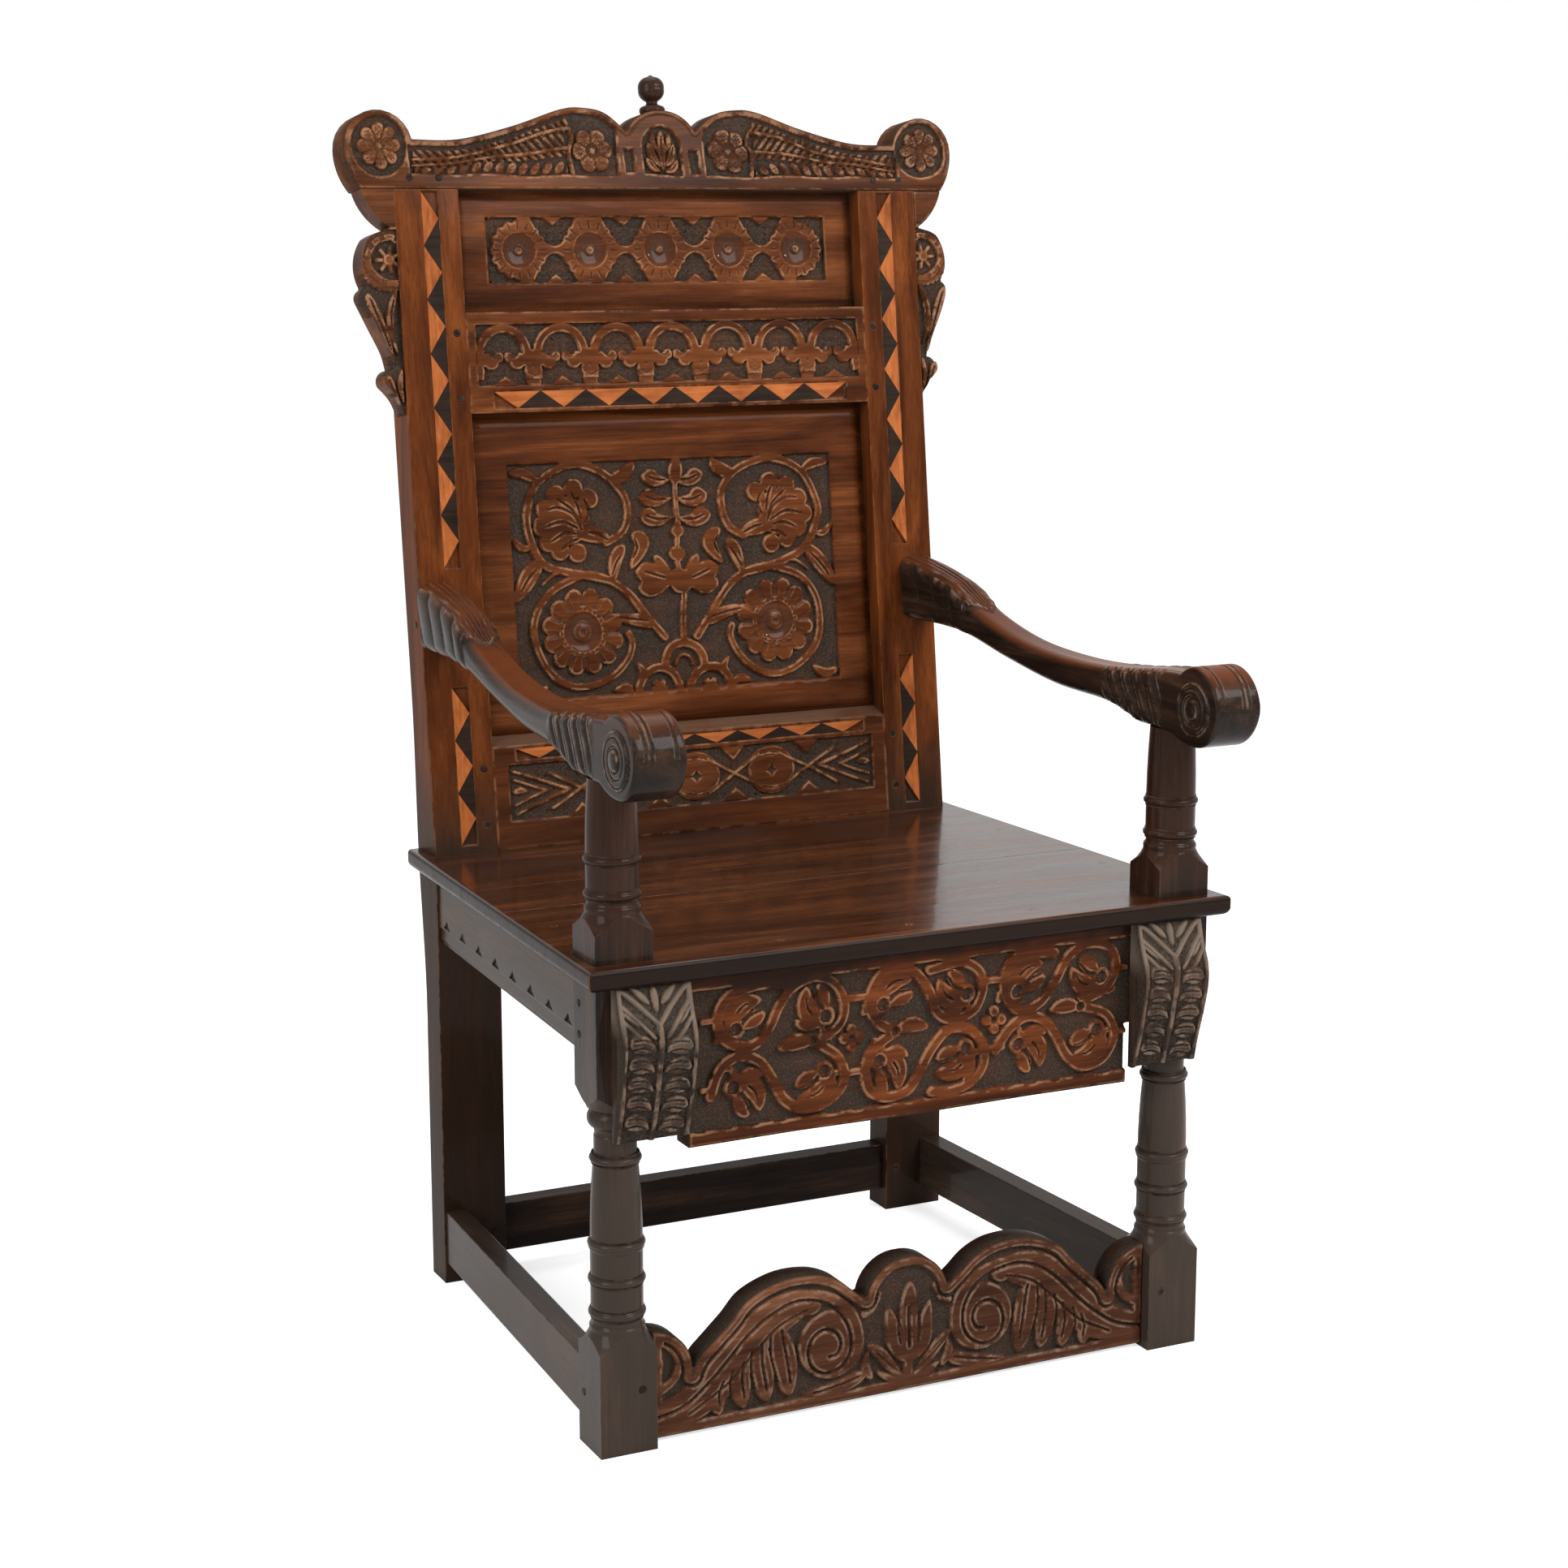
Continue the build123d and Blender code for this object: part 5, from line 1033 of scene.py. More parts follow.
def ear_carving(u, v):
    rim = onto(u, v, ear_line)[0]
    a = np.abs(u)
    curl = stem(
        a, v, [(287, 562), (300, 563), (314, 574), (317, 588), (309, 602), (294, 607), (287, 604)], 9, 8,
    )
    out = np.hypot(a - EAR_CURL[0], v - EAR_CURL[1])
    around = np.arctan2(v - EAR_CURL[1], a - EAR_CURL[0])
    petals = np.where(out < 13.5, 3.2 - np.abs(np.sin(around * 3.5)) * out * 0.42, -FAR)
    beads = 4.4 - np.hypot(out - 27.5, (around * 5 - np.rint(around * 5)) * 6.0)
    hanging = leaves(
        a, v, ([(320, 553), (312, 532), (303, 508), (296, 484)], 12, 0.35),
        ([(290, 556), (297, 536), (298, 512), (291, 492)], 9, 0.4),
        ([(305, 474), (300, 456), (290, 432)], 11, 0.35), ([(289, 480), (292, 462), (289, 446)], 7, 0.45),
    )
    height = most(
        raised(v - EAR_SHELF, EAR_DEPTH, 2.0), raised(petals, 3.8, 1.8), raised(beads, 3.4, 2.0),
        raised(most(curl, disc(a, v, EAR_CURL, 6.5), hanging), EAR_DEPTH, 1.8),
    )
    nicks = np.cos(np.arctan2(v - 585, a - 298) * 9) > 0.55
    height -= nicks * notch(curl - 3, 3, 1.6)
    for line in (
        [(317, 548), (310, 528), (299, 498)], [(293, 548), (297, 530), (295, 505)],
        [(303, 469), (298, 455), (291, 440)],
    ):
        height -= cut(a, v, line, 2.6, 2.4)
    height -= notch(v - EAR_SHELF, 1.3, 1.5)
    return np.maximum(height, 0.3 * tooling(u, v)) - eased_edge(rim, 1.8, 1.2)


for side, end in ((-1, "left"), (1, "right")):
    line = ear_line if side > 0 else (ear_line * (-1, 1))[::-1]
    spread = marks((286, 1.1), 325) if side > 0 else marks((-325, 1.1), -286)
    ear = sheet("carved_ear_" + end, spread, marks((423, 1.1), 654), line)
    carve(ear, BACK, ear_carving, EAR_DEPTH, base=-EAR_DEPTH, flat_back=EAR_BACK)
    dress(ear, crest_oak, "ear_bracket_" + end)

# %% [markdown]
# ## The front seat rail
#
# The apron under the seat has the boldest carving: two rows of rings joined in pairs by S-curves. Each
# ring holds a leaf that curls round a drilled eye. The curves were laid out by eye, and no two rings are
# the same size, so their paths are given one by one.

# %% Linked scrolls
FRIEZE_LINES = [
    [(-126, 407), (-152, 412), (-178, 408), (-195, 399), (-202, 385), (-196, 367), (-176, 356),
     (-159, 360), (-148, 373), (-140, 390), (-126, 405), (-103, 411), (-83, 402), (-74, 382), (-80, 364),
     (-104, 351)],
    [(-208, 316), (-202, 333), (-192, 344), (-175, 348), (-158, 340), (-146, 322), (-135, 304),
     (-117, 293), (-97, 293), (-79, 304), (-74, 320), (-82, 338), (-104, 352)],
    [(-20, 352), (-38, 362), (-49, 382), (-38, 404), (-18, 411), (0, 403), (13, 386), (22, 365), (40, 355),
     (62, 361), (71, 380), (66, 398), (49, 408), (30, 407), (14, 405)],
    [(-20, 351), (-44, 338), (-53, 320), (-47, 300), (-29, 291), (-8, 295), (4, 310), (16, 330), (34, 346),
     (56, 344), (71, 329), (72, 309), (60, 294), (41, 289), (18, 291)],
    [(148, 405), (114, 408), (98, 399), (93, 383), (99, 366), (113, 356), (133, 360), (149, 378),
     (164, 401), (186, 411), (209, 404), (216, 384), (206, 365), (187, 358), (177, 351)],
    [(85, 322), (99, 339), (118, 349), (137, 343), (150, 327), (163, 306), (182, 294), (205, 299),
     (216, 319), (207, 340), (180, 352)],
]
FRIEZE_EYES = [
    (-183, 373, 50), (-93, 374, 130), (-94, 324, 225), (-186, 320, -35), (-34, 378, 40), (54, 377, 155),
    (-38, 326, -50), (53, 326, 215), (108, 374, 45), (200, 377, 165), (110, 324, -40), (196, 327, 225),
]
FRIEZE_SHARE = 0.975
FRIEZE_KNOTS = ((-104, 352), (-20, 352), (178, 352))
FRIEZE_STARS = ((-66, 352), (84, 350))


def curled_leaf(u, v, eye, direction):
    """A fat leaf of two lobes and a spur, which grows to one side of an eye."""
    angle = math.radians(direction)
    ahead = np.array([math.cos(angle), math.sin(angle)])
    aside = np.array([-math.sin(angle), math.cos(angle)])

    def at(forward, across):
        return eye + ahead * forward + aside * across

    body = leaf(u, v, [at(-6, 6), at(8, 11), at(24, 7), at(36, -4)], 22, 0.5)
    lobe = leaf(u, v, [at(2, -2), at(16, -9), at(29, -14)], 17, 0.55)
    spur = leaf(u, v, [at(-4, 4), at(6, 19), at(20, 24)], 12, 0.55)
    neck = stem(u, v, [at(-4, 8), at(-12, 13), at(-18, 9)], 8)
    slits = stems(
        u, v, ([at(8, -2), at(17, -3), at(27, -9)], 3.6, 2.0), ([at(12, 9), at(20, 8), at(28, 3)], 2.4, 1.2),
    )
    return most(disc(u, v, eye, 10.5), body, lobe, spur, neck), slits


# %% Rings, leaves and ties
def frieze_carving(u, v):
    u, v = by_hand(u / FRIEZE_SHARE, v, 0.5)
    height = raised(stems(u, v, *((line, 12.6, 11.4) for line in FRIEZE_LINES)), GROUND_DEPTH, 1.8)
    for x, z, direction in FRIEZE_EYES:
        eye = np.array([x, z], float)
        shape, slits = curled_leaf(u, v, eye, direction)
        height = most(height, raised(shape, GROUND_DEPTH - 0.5, 2.4)) - raised(slits, 3.0, 1.2)
        height -= dish(u, v, eye, 5.8, 5.0)
    ties = stems(
        u, v, ([(-78, 388), (-47, 388)], 8), ([(-77, 320), (-51, 320)], 8), ([(68, 387), (95, 387)], 8),
        ([(69, 323), (92, 324)], 8), ([(-201, 384), (-216, 384)], 7), ([(-204, 322), (-216, 322)], 7),
        ([(214, 383), (227, 383)], 7), ([(214, 322), (227, 322)], 7),
    )
    knots = leaves(
        u, v, ([(-104, 352), (-122, 354), (-141, 350)], 17), ([(-20, 352), (-4, 356), (14, 352)], 17),
        ([(178, 352), (162, 354), (143, 351)], 17),
    )
    stars = most(*(flower(u, v, at, 6, 14, 4) for at in FRIEZE_STARS))
    height = most(height, raised(most(ties, knots, stars), GROUND_DEPTH, 1.6))
    for at in FRIEZE_KNOTS:
        height -= dish(u, v, at, 4.4, 4.4)
    for at in FRIEZE_STARS:
        height -= dish(u, v, at, 3.6, 3.4)
        crossed = notch(np.abs(u - at[0]) - np.abs(v - at[1]), 1.1, 1.2)
        height -= crossed * (disc(u, v, at, 12) > 0)
    return height, notch(np.hypot((u - 12 * np.rint(u / 12)) / 2.2, (v - 286) / 1.3), 1, 0.8)


# 1 in the drilled eyes, which shine and are darkened: pooled wax and painted shade.
def frieze_eyes(u, v):
    return most(*(np.clip(disc(u / FRIEZE_SHARE, v, eye, 7.5) / 2, 0, 1) for eye in FRIEZE_EYES))


# %% Making the front rail
RAIL_BACK = 26.0
frieze_line = np.array([
    (-256, 328), (-224, 328), (-224, 272), (-120, 272.8), (0, 271.6), (120, 272.6), (224, 272), (224, 328),
    (256, 328), (256, 426), (-256, 426),
])


def frieze(u, v):
    pattern, chips = frieze_carving(u, v)
    rim = onto(u, v, frieze_line)[0]
    field = board(u, v, -231, 231, 285.5, 411) + 0.6 * np.sin(u / 4.1) * np.cos(v / 5.3)
    plain = raised(-field, GROUND_DEPTH, 1.3)
    pattern = np.where(field > -1.5, pattern, 0)
    return most(pattern, plain - chips, 0.32 * tooling(u, v)) - eased_edge(rim, 2.2, 1.4)


apron = sheet("carved_front_rail", marks((-257, 1.15), 257), marks((270, 1.15), 427), frieze_line)
carve(apron, FRONT, frieze, GROUND_DEPTH, base=-GROUND_DEPTH, flat_back=RAIL_BACK, polish_and_shade=frieze_eyes)
dress(apron, apron_oak, "front_seat_rail")

# %% [markdown]
# ## The front stretcher
#
# Between the front feet stands a board sawn to two big waves. Each wave is a stem that rolls into a
# volute, and an acanthus leaf falls from it towards the leg. A tulip stands in the middle under its own
# small arch.

# %% The stretcher's outline
STRETCHER_DEPTH = 11.0
STRETCHER_BACK = 37.0
stretcher_line = both_halves([
    [(0, 4), (128, 4), (256, 4)], arc((256, 104), (228, 92), (217, 57)), arc((217, 57), (212, 68), (202, 79)),
    smooth([(202, 79), (179, 100), (160, 119), (128, 130.7), (96, 130.7), (71.7, 121.8), (53.8, 107),
            (42, 98)])[:-1],
    arc((42, 98), (30, 121), (0, 132)), [(0, 132)],
])


# %% Volutes, acanthus and tulip
SPIRAL = [
    (262, 21), (228, 29), (204, 45), (184, 63), (164, 83), (144, 98), (122, 107), (103, 107.5), (84, 102),
    (69, 90), (60, 74), (59, 54), (68, 40), (83, 34), (97, 41), (102, 55), (98, 70), (86, 77), (74, 73),
    (69, 62), (73, 52), (81, 50),
]


def groove(u, v, line, wide, deep=4.0):
    """A gouged furrow along a curve, as deep at its ends as in the middle."""
    return raised(stem(u, v, line, wide), deep, 0.6 * wide)


def stretcher_carving(u, v):
    rim = onto(u, v, stretcher_line)[0]
    u, v = by_hand(u, v, 0.5)
    a = np.abs(u)
    x = np.abs(u - 2)
    bands = stems(
        a, v,
        ([(262, 22), (228, 32), (203, 49), (183, 67), (163, 87), (143, 101), (120, 107), (100, 104)], 25),
        ([(124, 110), (99, 111), (77, 105), (60, 92), (51, 74), (51, 54)], 12),
        ([(44, 84), (36, 88), (30, 100)], 9),
        ([(262, 97), (242, 92), (229, 76), (234, 58), (250, 47), (262, 44)], 11),
    )
    fronds = leaves(
        a, v, ([(258, 14), (214, 24), (178, 52), (146, 82), (104, 96)], 32, 0.55),
        ([(134, 96), (127, 62), (120, 18)], 27, 0.55), ([(150, 84), (149, 54), (143, 18)], 25, 0.55),
        ([(168, 70), (171, 46), (166, 16)], 23, 0.55), ([(188, 54), (193, 36), (190, 14)], 20, 0.55),
        ([(208, 38), (214, 28), (214, 14)], 13, 0.55), ([(42, 28), (66, 20), (108, 16)], 15, 0.4),
        ([(36, 20), (44, 34), (40, 48)], 11, 0.4),
    )
    volutes = most(disc(a, v, (78, 62), 34.5), disc(a, v, (252, 73), 9))
    tulip = most(
        leaves(x, v, ([(0, 30), (13, 46), (17, 66), (22, 88)], 19), ([(0, 34), (0, 70), (0, 109)], 21, 0.6),
               ([(0, 14), (14, 24), (29, 42), (44, 54)], 14, 0.6), ([(2, 14), (16, 16), (34, 26)], 10)),
        stem(x, v, [(0, 10), (0, 42)], 12), disc(x, v, (0, 50), 14),
    )
    height = most(
        raised(most(bands, fronds, volutes, tulip), GROUND_DEPTH, 2.4),
        raised(most(10.5 - rim, 15.0 - v), GROUND_DEPTH, 1.6),
    )
    height -= groove(a, v, SPIRAL, 3.6)
    height -= 4.0 * np.clip(1 - np.abs(rim - 9.6) / 1.9, 0, 1) ** 0.7 * (v > 34) * (a < 244)
    for line, wide in (
        ([(104, 98), (132, 88), (158, 66), (184, 42), (220, 22)], 2.6),
        ([(128, 84), (124, 60), (120, 32)], 3.2), ([(148, 74), (148, 54), (144, 30)], 3.2),
        ([(167, 60), (169, 44), (166, 27)], 3.0), ([(187, 46), (191, 35), (190, 24)], 2.6),
        ([(139, 82), (139, 60), (133, 36)], 2.4), ([(158, 70), (160, 52), (156, 34)], 2.4),
        ([(178, 54), (181, 41), (179, 29)], 2.2), ([(50, 26), (70, 21), (96, 17)], 2.4),
    ):
        height -= groove(a, v, line, wide, 2.8)
    height -= groove(x, v, [(0, 46), (0, 64), (0, 84)], 3.8, 3.4)
    height -= groove(x, v, [(9, 50), (11, 66), (10, 82)], 2.6, 2.6)
    height -= groove(x, v, [(8, 22), (20, 31), (34, 44)], 2.4, 1.8)
    height -= dish(a, v, (157, 26), 2.2, 4.0) + dish(a, v, (133, 25), 2.2, 4.0)
    return np.maximum(height, 0.3 * tooling(u, v)) - eased_edge(rim, 2.6, 1.8)


stretcher = sheet("carved_front_stretcher", marks((-257, 1.2), 257), marks((3, 1.2), 133), stretcher_line)
carve(
    stretcher, FRONT, stretcher_carving, GROUND_DEPTH, base=-STRETCHER_DEPTH - GROUND_DEPTH,
    flat_back=STRETCHER_BACK,
)
dress(stretcher, stretcher_oak, "front_stretcher")

# %% [markdown]
# ## The corbels
#
# A bellied block sits on each front leg, under the seat. The sheet for it isn't flat: its base follows
# the belly, and the carving is added on top. Ribs run from the top corners to the middle, and leaves fan
# out on both sides of a central rib down to the foot.

# %% Corbels
CORBEL_MIDDLE, CORBEL_HALF = 261.0, 35.0
CORBEL_LOW, CORBEL_HIGH = 287.0, 426.0
FAN_HEIGHTS = (374, 355.5, 337, 318.5, 300)
belly = smooth([(426, 12), (405, 18), (384, 27), (364, 28), (338, 22), (312, 14), (287, 8)])[::-1]


def corbel_line(side):
    low, high = side * CORBEL_MIDDLE - CORBEL_HALF, side * CORBEL_MIDDLE + CORBEL_HALF
    return np.array([(low, CORBEL_LOW), (high, CORBEL_LOW), (high, CORBEL_HIGH), (low, CORBEL_HIGH)])


def corbel_belly(u, v):
    return np.interp(v, belly[:, 0], belly[:, 1]) - GROUND_DEPTH


def corbel_carving(side):
    def height(u, v):
        rim = onto(u, v, corbel_line(side))[0]
        x, v = by_hand(u - side * CORBEL_MIDDLE, v, 0.7)
        left, x = x < 0, np.abs(x)
        ribs = most(
            stems(x, v, ([(35, 427), (18, 412), (0, 394)], 5.4), ([(35, 414), (20, 399), (6, 384)], 5.0),
                  ([(33, 400), (22, 388), (14, 380)], 4.8)),
            leaves(x, v, ([(0, 426), (0, 416), (0, 403)], 8), ([(22, 427), (12, 417), (5, 410)], 7),
                   ([(34, 409), (26, 400), (17, 392)], 4.6)),
            np.minimum(stem(x, v, [(0, 397), (0, 287)], 7.0, 6.5), 398 - v), x - 29.6,
        )
        rise = np.where(left, 7.0, 0.5)
        slant = v - rise * x / 30
        fans = [most(leaf(x, slant, [(3, z - 4), (14, z + 1), (30, z - 2)], 19, 0.62),
                     disc(x, slant, (21, z), 9.0)) for z in FAN_HEIGHTS]
        lines = most(raised(ribs, GROUND_DEPTH, 2.0), *(raised(fan, GROUND_DEPTH - 0.4, 4.0) for fan in fans))
        for z in FAN_HEIGHTS:
            lines -= groove(x, slant, [(6, z + 4), (16, z + 5), (25, z + 3)], 2.2, 1.8)
            lines -= groove(x, slant, [(8, z - 3), (16, z - 2), (26, z - 5)], 2.4, 2.0)
        return np.maximum(lines, 1.2 + 0.4 * tooling(u, v)) - eased_edge(rim, 2.4, 1.6)
    return height


for side, end in ((-1, "left"), (1, "right")):
    low, high = side * CORBEL_MIDDLE - CORBEL_HALF - 1, side * CORBEL_MIDDLE + CORBEL_HALF + 1
    rows = marks((CORBEL_LOW - 1, 1.1), CORBEL_HIGH + 1)
    corbel = sheet("carved_corbel_" + end, marks((low, 1.1), high), rows, corbel_line(side))
    carve(corbel, FRONT, corbel_carving(side), GROUND_DEPTH, base=corbel_belly, flat_back=0.3)
    dress(corbel, corbel_oak, "corbel_" + end)

# %% [markdown]
# ## The arms
#
# An arm is sawn to its side view, then to its plan, and rounded by hand. Here it is a row of sections, one
# behind the other: each is a rectangle with round corners, as high as the side view and as wide as the
# plan say at that place. The front sections shrink to nothing round the nose of the scroll. A height is
# added on the way: reeds over the scroll, slanting leaf lobes behind it, and a thick leaf collar at the
# post.

# %% The arm's side view and plan
FRAME_DEPTH = 466.0
scroll = arc((-18, 659), (-79, 638), (-46, 594), 60)
top_line = smooth([
    (540, 722), (457, 710), (401, 695), (340, 670), (261, 652), (170, 646), (88, 649), (30, 656),
    (-18, 659),
])
under_line = np.vstack([
    arc((-46, 594), (-22, 596), (-6, 602)), [(-6, 602), (56, 602)],
    smooth([(56, 602), (109, 613), (200, 617), (289, 630), (380, 646), (466, 647), (540, 641)])[1:],
])
nose = int(np.argmin(scroll[:, 0]))
over = np.vstack([top_line, scroll[: nose + 1]])[::-1]
below = np.vstack([scroll[nose:], under_line])
below = below[np.argsort(below[:, 0], kind="stable")]
outer_plan = smooth([(-90, 307), (10, 307), (88, 306), (261, 295), (466, 287), (540, 287)])
inner_plan = smooth([(-90, 259), (10, 259), (88, 260), (261, 255), (466, 251), (540, 251)])


def at_length(line, y):
    return np.interp(y, line[:, 0], line[:, 1])


# %% Sections with round corners
ACROSS, ROUND, DOWN = 44, 9, 26


def section(half_wide, half_tall, corner):
    """A rectangle with round corners, anticlockwise from the top's inner end. Widths run from -1 to 1."""
    corner = min(corner, half_wide * 0.95, half_tall * 0.95)
    x, z = half_wide - corner, half_tall - corner
    quarter = np.linspace(0, np.pi / 2, ROUND + 1)[:-1]
    parts = []
    for turn, (cx, cz), (ex, ez), count in (
        (0.5, (x, z), (-x, z), ACROSS), (1.0, (-x, z), (-x, -z), DOWN),
        (1.5, (-x, -z), (x, -z), ACROSS), (0.0, (x, -z), (x, z), DOWN),
    ):
        share = np.linspace(0, 1, count + 1)[:-1, None]
        angle = np.pi * turn
        out = corner * np.array([math.cos(angle), math.sin(angle)])
        parts.append(np.array([cx, cz]) + share * (np.array([ex, ez]) - (cx, cz)) + out)
        bend = angle + quarter
        parts.append(np.column_stack([ex + corner * np.cos(bend), ez + corner * np.sin(bend)]))
    return np.vstack(parts)


# %% Belts, lobes and the collar
def arm_relief(y, q, c):
    """Height of the carving: q runs across the top, c carries on from it down the sides to 2."""
    reach = np.abs(c)
    belts = notch(q - 0.28, 0.07, 1.7) + notch(q - 0.52, 0.07, 1.5) + notch(q + 0.62, 0.08, 1.4)
    height = -belts * np.clip((60 - y) / 50, 0, 1) * (reach <= 1.0)
    lobed = np.clip((y - 6) / 8, 0, 1) * np.clip((118 - y) / 8, 0, 1)
    lobed = lobed * np.clip((reach - 0.45) / 0.2, 0, 1)
    phase = (y + 26 * np.clip(reach - 0.45, 0, 2)) / 21
    lobes = np.abs(np.sin(np.pi * phase)) ** 0.55
    vein = notch((phase % 1) - 0.55, 0.09, 0.9)
    height += lobed * (2.4 * lobes - vein - 1.3)
    edge = 340 + 26 * np.minimum(1, reach) - 16 * np.clip(reach - 1.4, 0, 1)
    collar = np.clip((y - edge) / 3.0, 0, 1)
    fan = q / (0.35 + 0.65 * np.clip((y - 335) / 120, 0, 1))
    reeds = np.abs(np.cos(np.pi * 2.6 * fan)) ** 0.6
    leafage = np.abs(np.sin(np.pi * (y + 16 * (reach - 1)) / 25)) ** 0.55
    carved = np.where(reach < 0.95, 1.5 * reeds, 2.4 * leafage * (0.75 + 0.25 * np.cos(5 * reach)))
    height += collar * (1.4 + carved - 0.8)
    return height * np.where(reach > 1.98, 0.0, 1.0)


# %% The rings of an arm
def arm_rings(side):
    """All the places of one arm, ring after ring, and the height of its carving at each."""
    y_nose = over[0, 0] + 0.05
    front = y_nose + (1 - np.cos(np.linspace(0, np.pi / 2, 46))) * 40
    length = np.append(front, np.arange(front[-1] + 1.6, FRAME_DEPTH - 1, 1.6))
    length = np.append(length, FRAME_DEPTH)
    rings, heights = [], []
    for y in length:
        high, low = at_length(over, y), at_length(below, y)
        tall = max((high - low) / 2, 0.15)
        outer, inner = at_length(outer_plan, y), at_length(inner_plan, y)
        wide = (outer - inner) / 2
        soft = 5.0 if y < 10 else 9.0 + 3.0 * min(1, (y - 10) / 120)
        shrink = 5.0 * (1 - math.sqrt(max(0.0, 1 - (1 - min(tall / 9, 1)) ** 2)))
        ring = section(wide - shrink, tall, soft)
        q = np.clip(ring[:, 0] / wide, -1, 1)
        t = np.clip(ring[:, 1] / tall, -1, 1)
        beside = np.abs(ring[:, 0]) > wide - shrink - soft * 0.35
        c = np.where(beside & (t < 0.999), np.sign(q) * (1 + (1 - t) / 2), np.where(t > 0, q, 2.0))
        height = arm_relief(y, q, c)
        away = np.column_stack([ring[:, 0] - np.clip(ring[:, 0], -wide + soft, wide - soft),
                                ring[:, 1] - np.clip(ring[:, 1], -tall + soft, tall - soft)])
        away /= np.maximum(np.linalg.norm(away, axis=1), 1e-6)[:, None]
        spot = ring + away * (height * min(1.0, tall / 12))[:, None]
        x = side * ((outer + inner) / 2 + spot[:, 0])
        z = (high + low) / 2 + spot[:, 1]
        lean = np.clip((y - 400) / (FRAME_DEPTH - 400), 0, 1)
        rings.append(np.column_stack([x, y + lean * (z - 1000 * SEAT_TOP) * math.tan(RAKE), z]))
        heights.append(height)
    return np.array(rings), np.array(heights)


# %% Building an arm
ARM_RELIEF = 2.0


def arm(side, end):
    rings, heights = arm_rings(side)
    rings = np.concatenate([rings, rings[:, :1]], 1)
    heights = np.concatenate([heights, heights[:, :1]], 1)
    count, around = rings.shape[:2]
    obj = sheet("carved_arm_" + end, np.arange(count, dtype=float), np.arange(around, dtype=float))
    spots = np.rint(places(obj)[:, :2]).astype(int)
    co = rings[spots[:, 0], spots[:, 1]]
    place(obj, (co + (0, LEG_FACE / MM, 0)) * MM)
    height = heights[spots[:, 0], spots[:, 1]]
    # As on the boards: lighter raised edges (wear, and in part painted glints) and darker hollows (dirt, and
    # in part painted shade).
    wear = np.clip((height - blurred(obj, height, 8)) / 0.5, -1, 1) * 0.5 + 0.5
    record(obj, "relief", np.clip(1 + height / ARM_RELIEF, 0, 1), 1.0)
    record(obj, "wear", wear, 0.5)
    edit(obj)
    bpy.ops.mesh.select_all(action="SELECT")
    bpy.ops.mesh.remove_doubles(threshold=0.00001)
    bpy.ops.mesh.fill_holes(sides=0)
    bpy.ops.mesh.normals_make_consistent(inside=False)
    bpy.ops.object.mode_set(mode="OBJECT")
    bpy.ops.object.shade_smooth_by_angle(angle=math.radians(60))
    return dress(obj, arm_oak, "arm_" + end)


# Painted shade darkens the lower half of each scroll and the underside of the arm.
arm_oak = oak("arm oak", "Y", BLACK_OAK, RUBBED_AND_LIT_BROWN, gloss=0.24, carved=True, shine=0.10, wear_share=0.8,
              zones=[(0.642, 0.618, SHADE, 0.7)], upward=((0.115, 0.030, 0.009), 0.9))
arm(-1, "left")
arm(1, "right")

# %% [markdown]
# A coil is carved on each side of both scrolls. It is a small round sheet whose height follows a spiral,
# with a button left in the middle, laid on the side of the arm.

# %% Volutes on the scroll's sides
VOLUTE = (-44, 629)
VOLUTE_DEPTH = 2.6


def volute(u, v):
    out = np.hypot(u, v)
    turn = np.arctan2(v, u) / (2 * np.pi)
    winding = out / 7.0 - turn
    spiral = notch((winding % 1) - 0.5, 0.16, 1.7) * (out > 10.5) * (out < 24.5)
    height = VOLUTE_DEPTH * np.clip((26.5 - out) / 2.0, 0, 1) - spiral
    return height + bowl(out, 9.5, VOLUTE_DEPTH) - notch(out - 10.2, 1.2, 1.6)


angles = np.linspace(0, 2 * np.pi, 73)[:-1]
ring_line = 27 * np.column_stack([np.cos(angles), np.sin(angles)])
grid = marks((-28, 0.9), 28)
for side, end in ((-1, "left"), (1, "right")):
    for x, out, part in ((306.6, side, "outer"), (259.4, -side, "inner")):
        middle = (side * x * MM, LEG_FACE + VOLUTE[0] * MM, VOLUTE[1] * MM)
        on = face(middle, (0, out, 0), (0, 0, 1), (out, 0, 0))
        coil = sheet("volute_" + part + "_" + end, grid, grid, ring_line)
        carve(coil, on, volute, VOLUTE_DEPTH, thick=1.5)
        dress(coil, arm_oak)

# %% [markdown]
# ## Beads on the turned legs
#
# The legs were turned on a lathe, with small beads between narrow quirks where old wax and dirt have
# settled. The imported legs have the whole shape. Thin rings laid over it make each bead crisp and each
# quirk dark, as they are on wood that was cut with a sharp tool; the dark in the quirks is partly settled
# dirt and partly painted shade. Sizes here are in millimetres.

# %% Beads and quirks
BODY_RADIUS, NECK_RADIUS = 23.2, 20.8
BEADS = [
    (126, BODY_RADIUS), (156.5, BODY_RADIUS), (189.5, BODY_RADIUS), (266.5, NECK_RADIUS), (502, BODY_RADIUS),
    (532.5, BODY_RADIUS),
]
BEAD_THICK, BEAD_SUNK = 3.4, 1.0
QUIRK_THICK, QUIRK_SUNK, QUIRK_AWAY = 0.9, 0.3, 4.4
LEG_AXIS = (LEG_OUT / MM - 27, LEG_FACE / MM + 25)


def ring(side, radius, thick, height):
    at = (side * LEG_AXIS[0] * MM, LEG_AXIS[1] * MM, height * MM)
    bpy.ops.mesh.primitive_torus_add(
        location=at, major_radius=radius * MM, minor_radius=thick * MM,
        major_segments=72, minor_segments=12,
    )
    return bpy.context.object


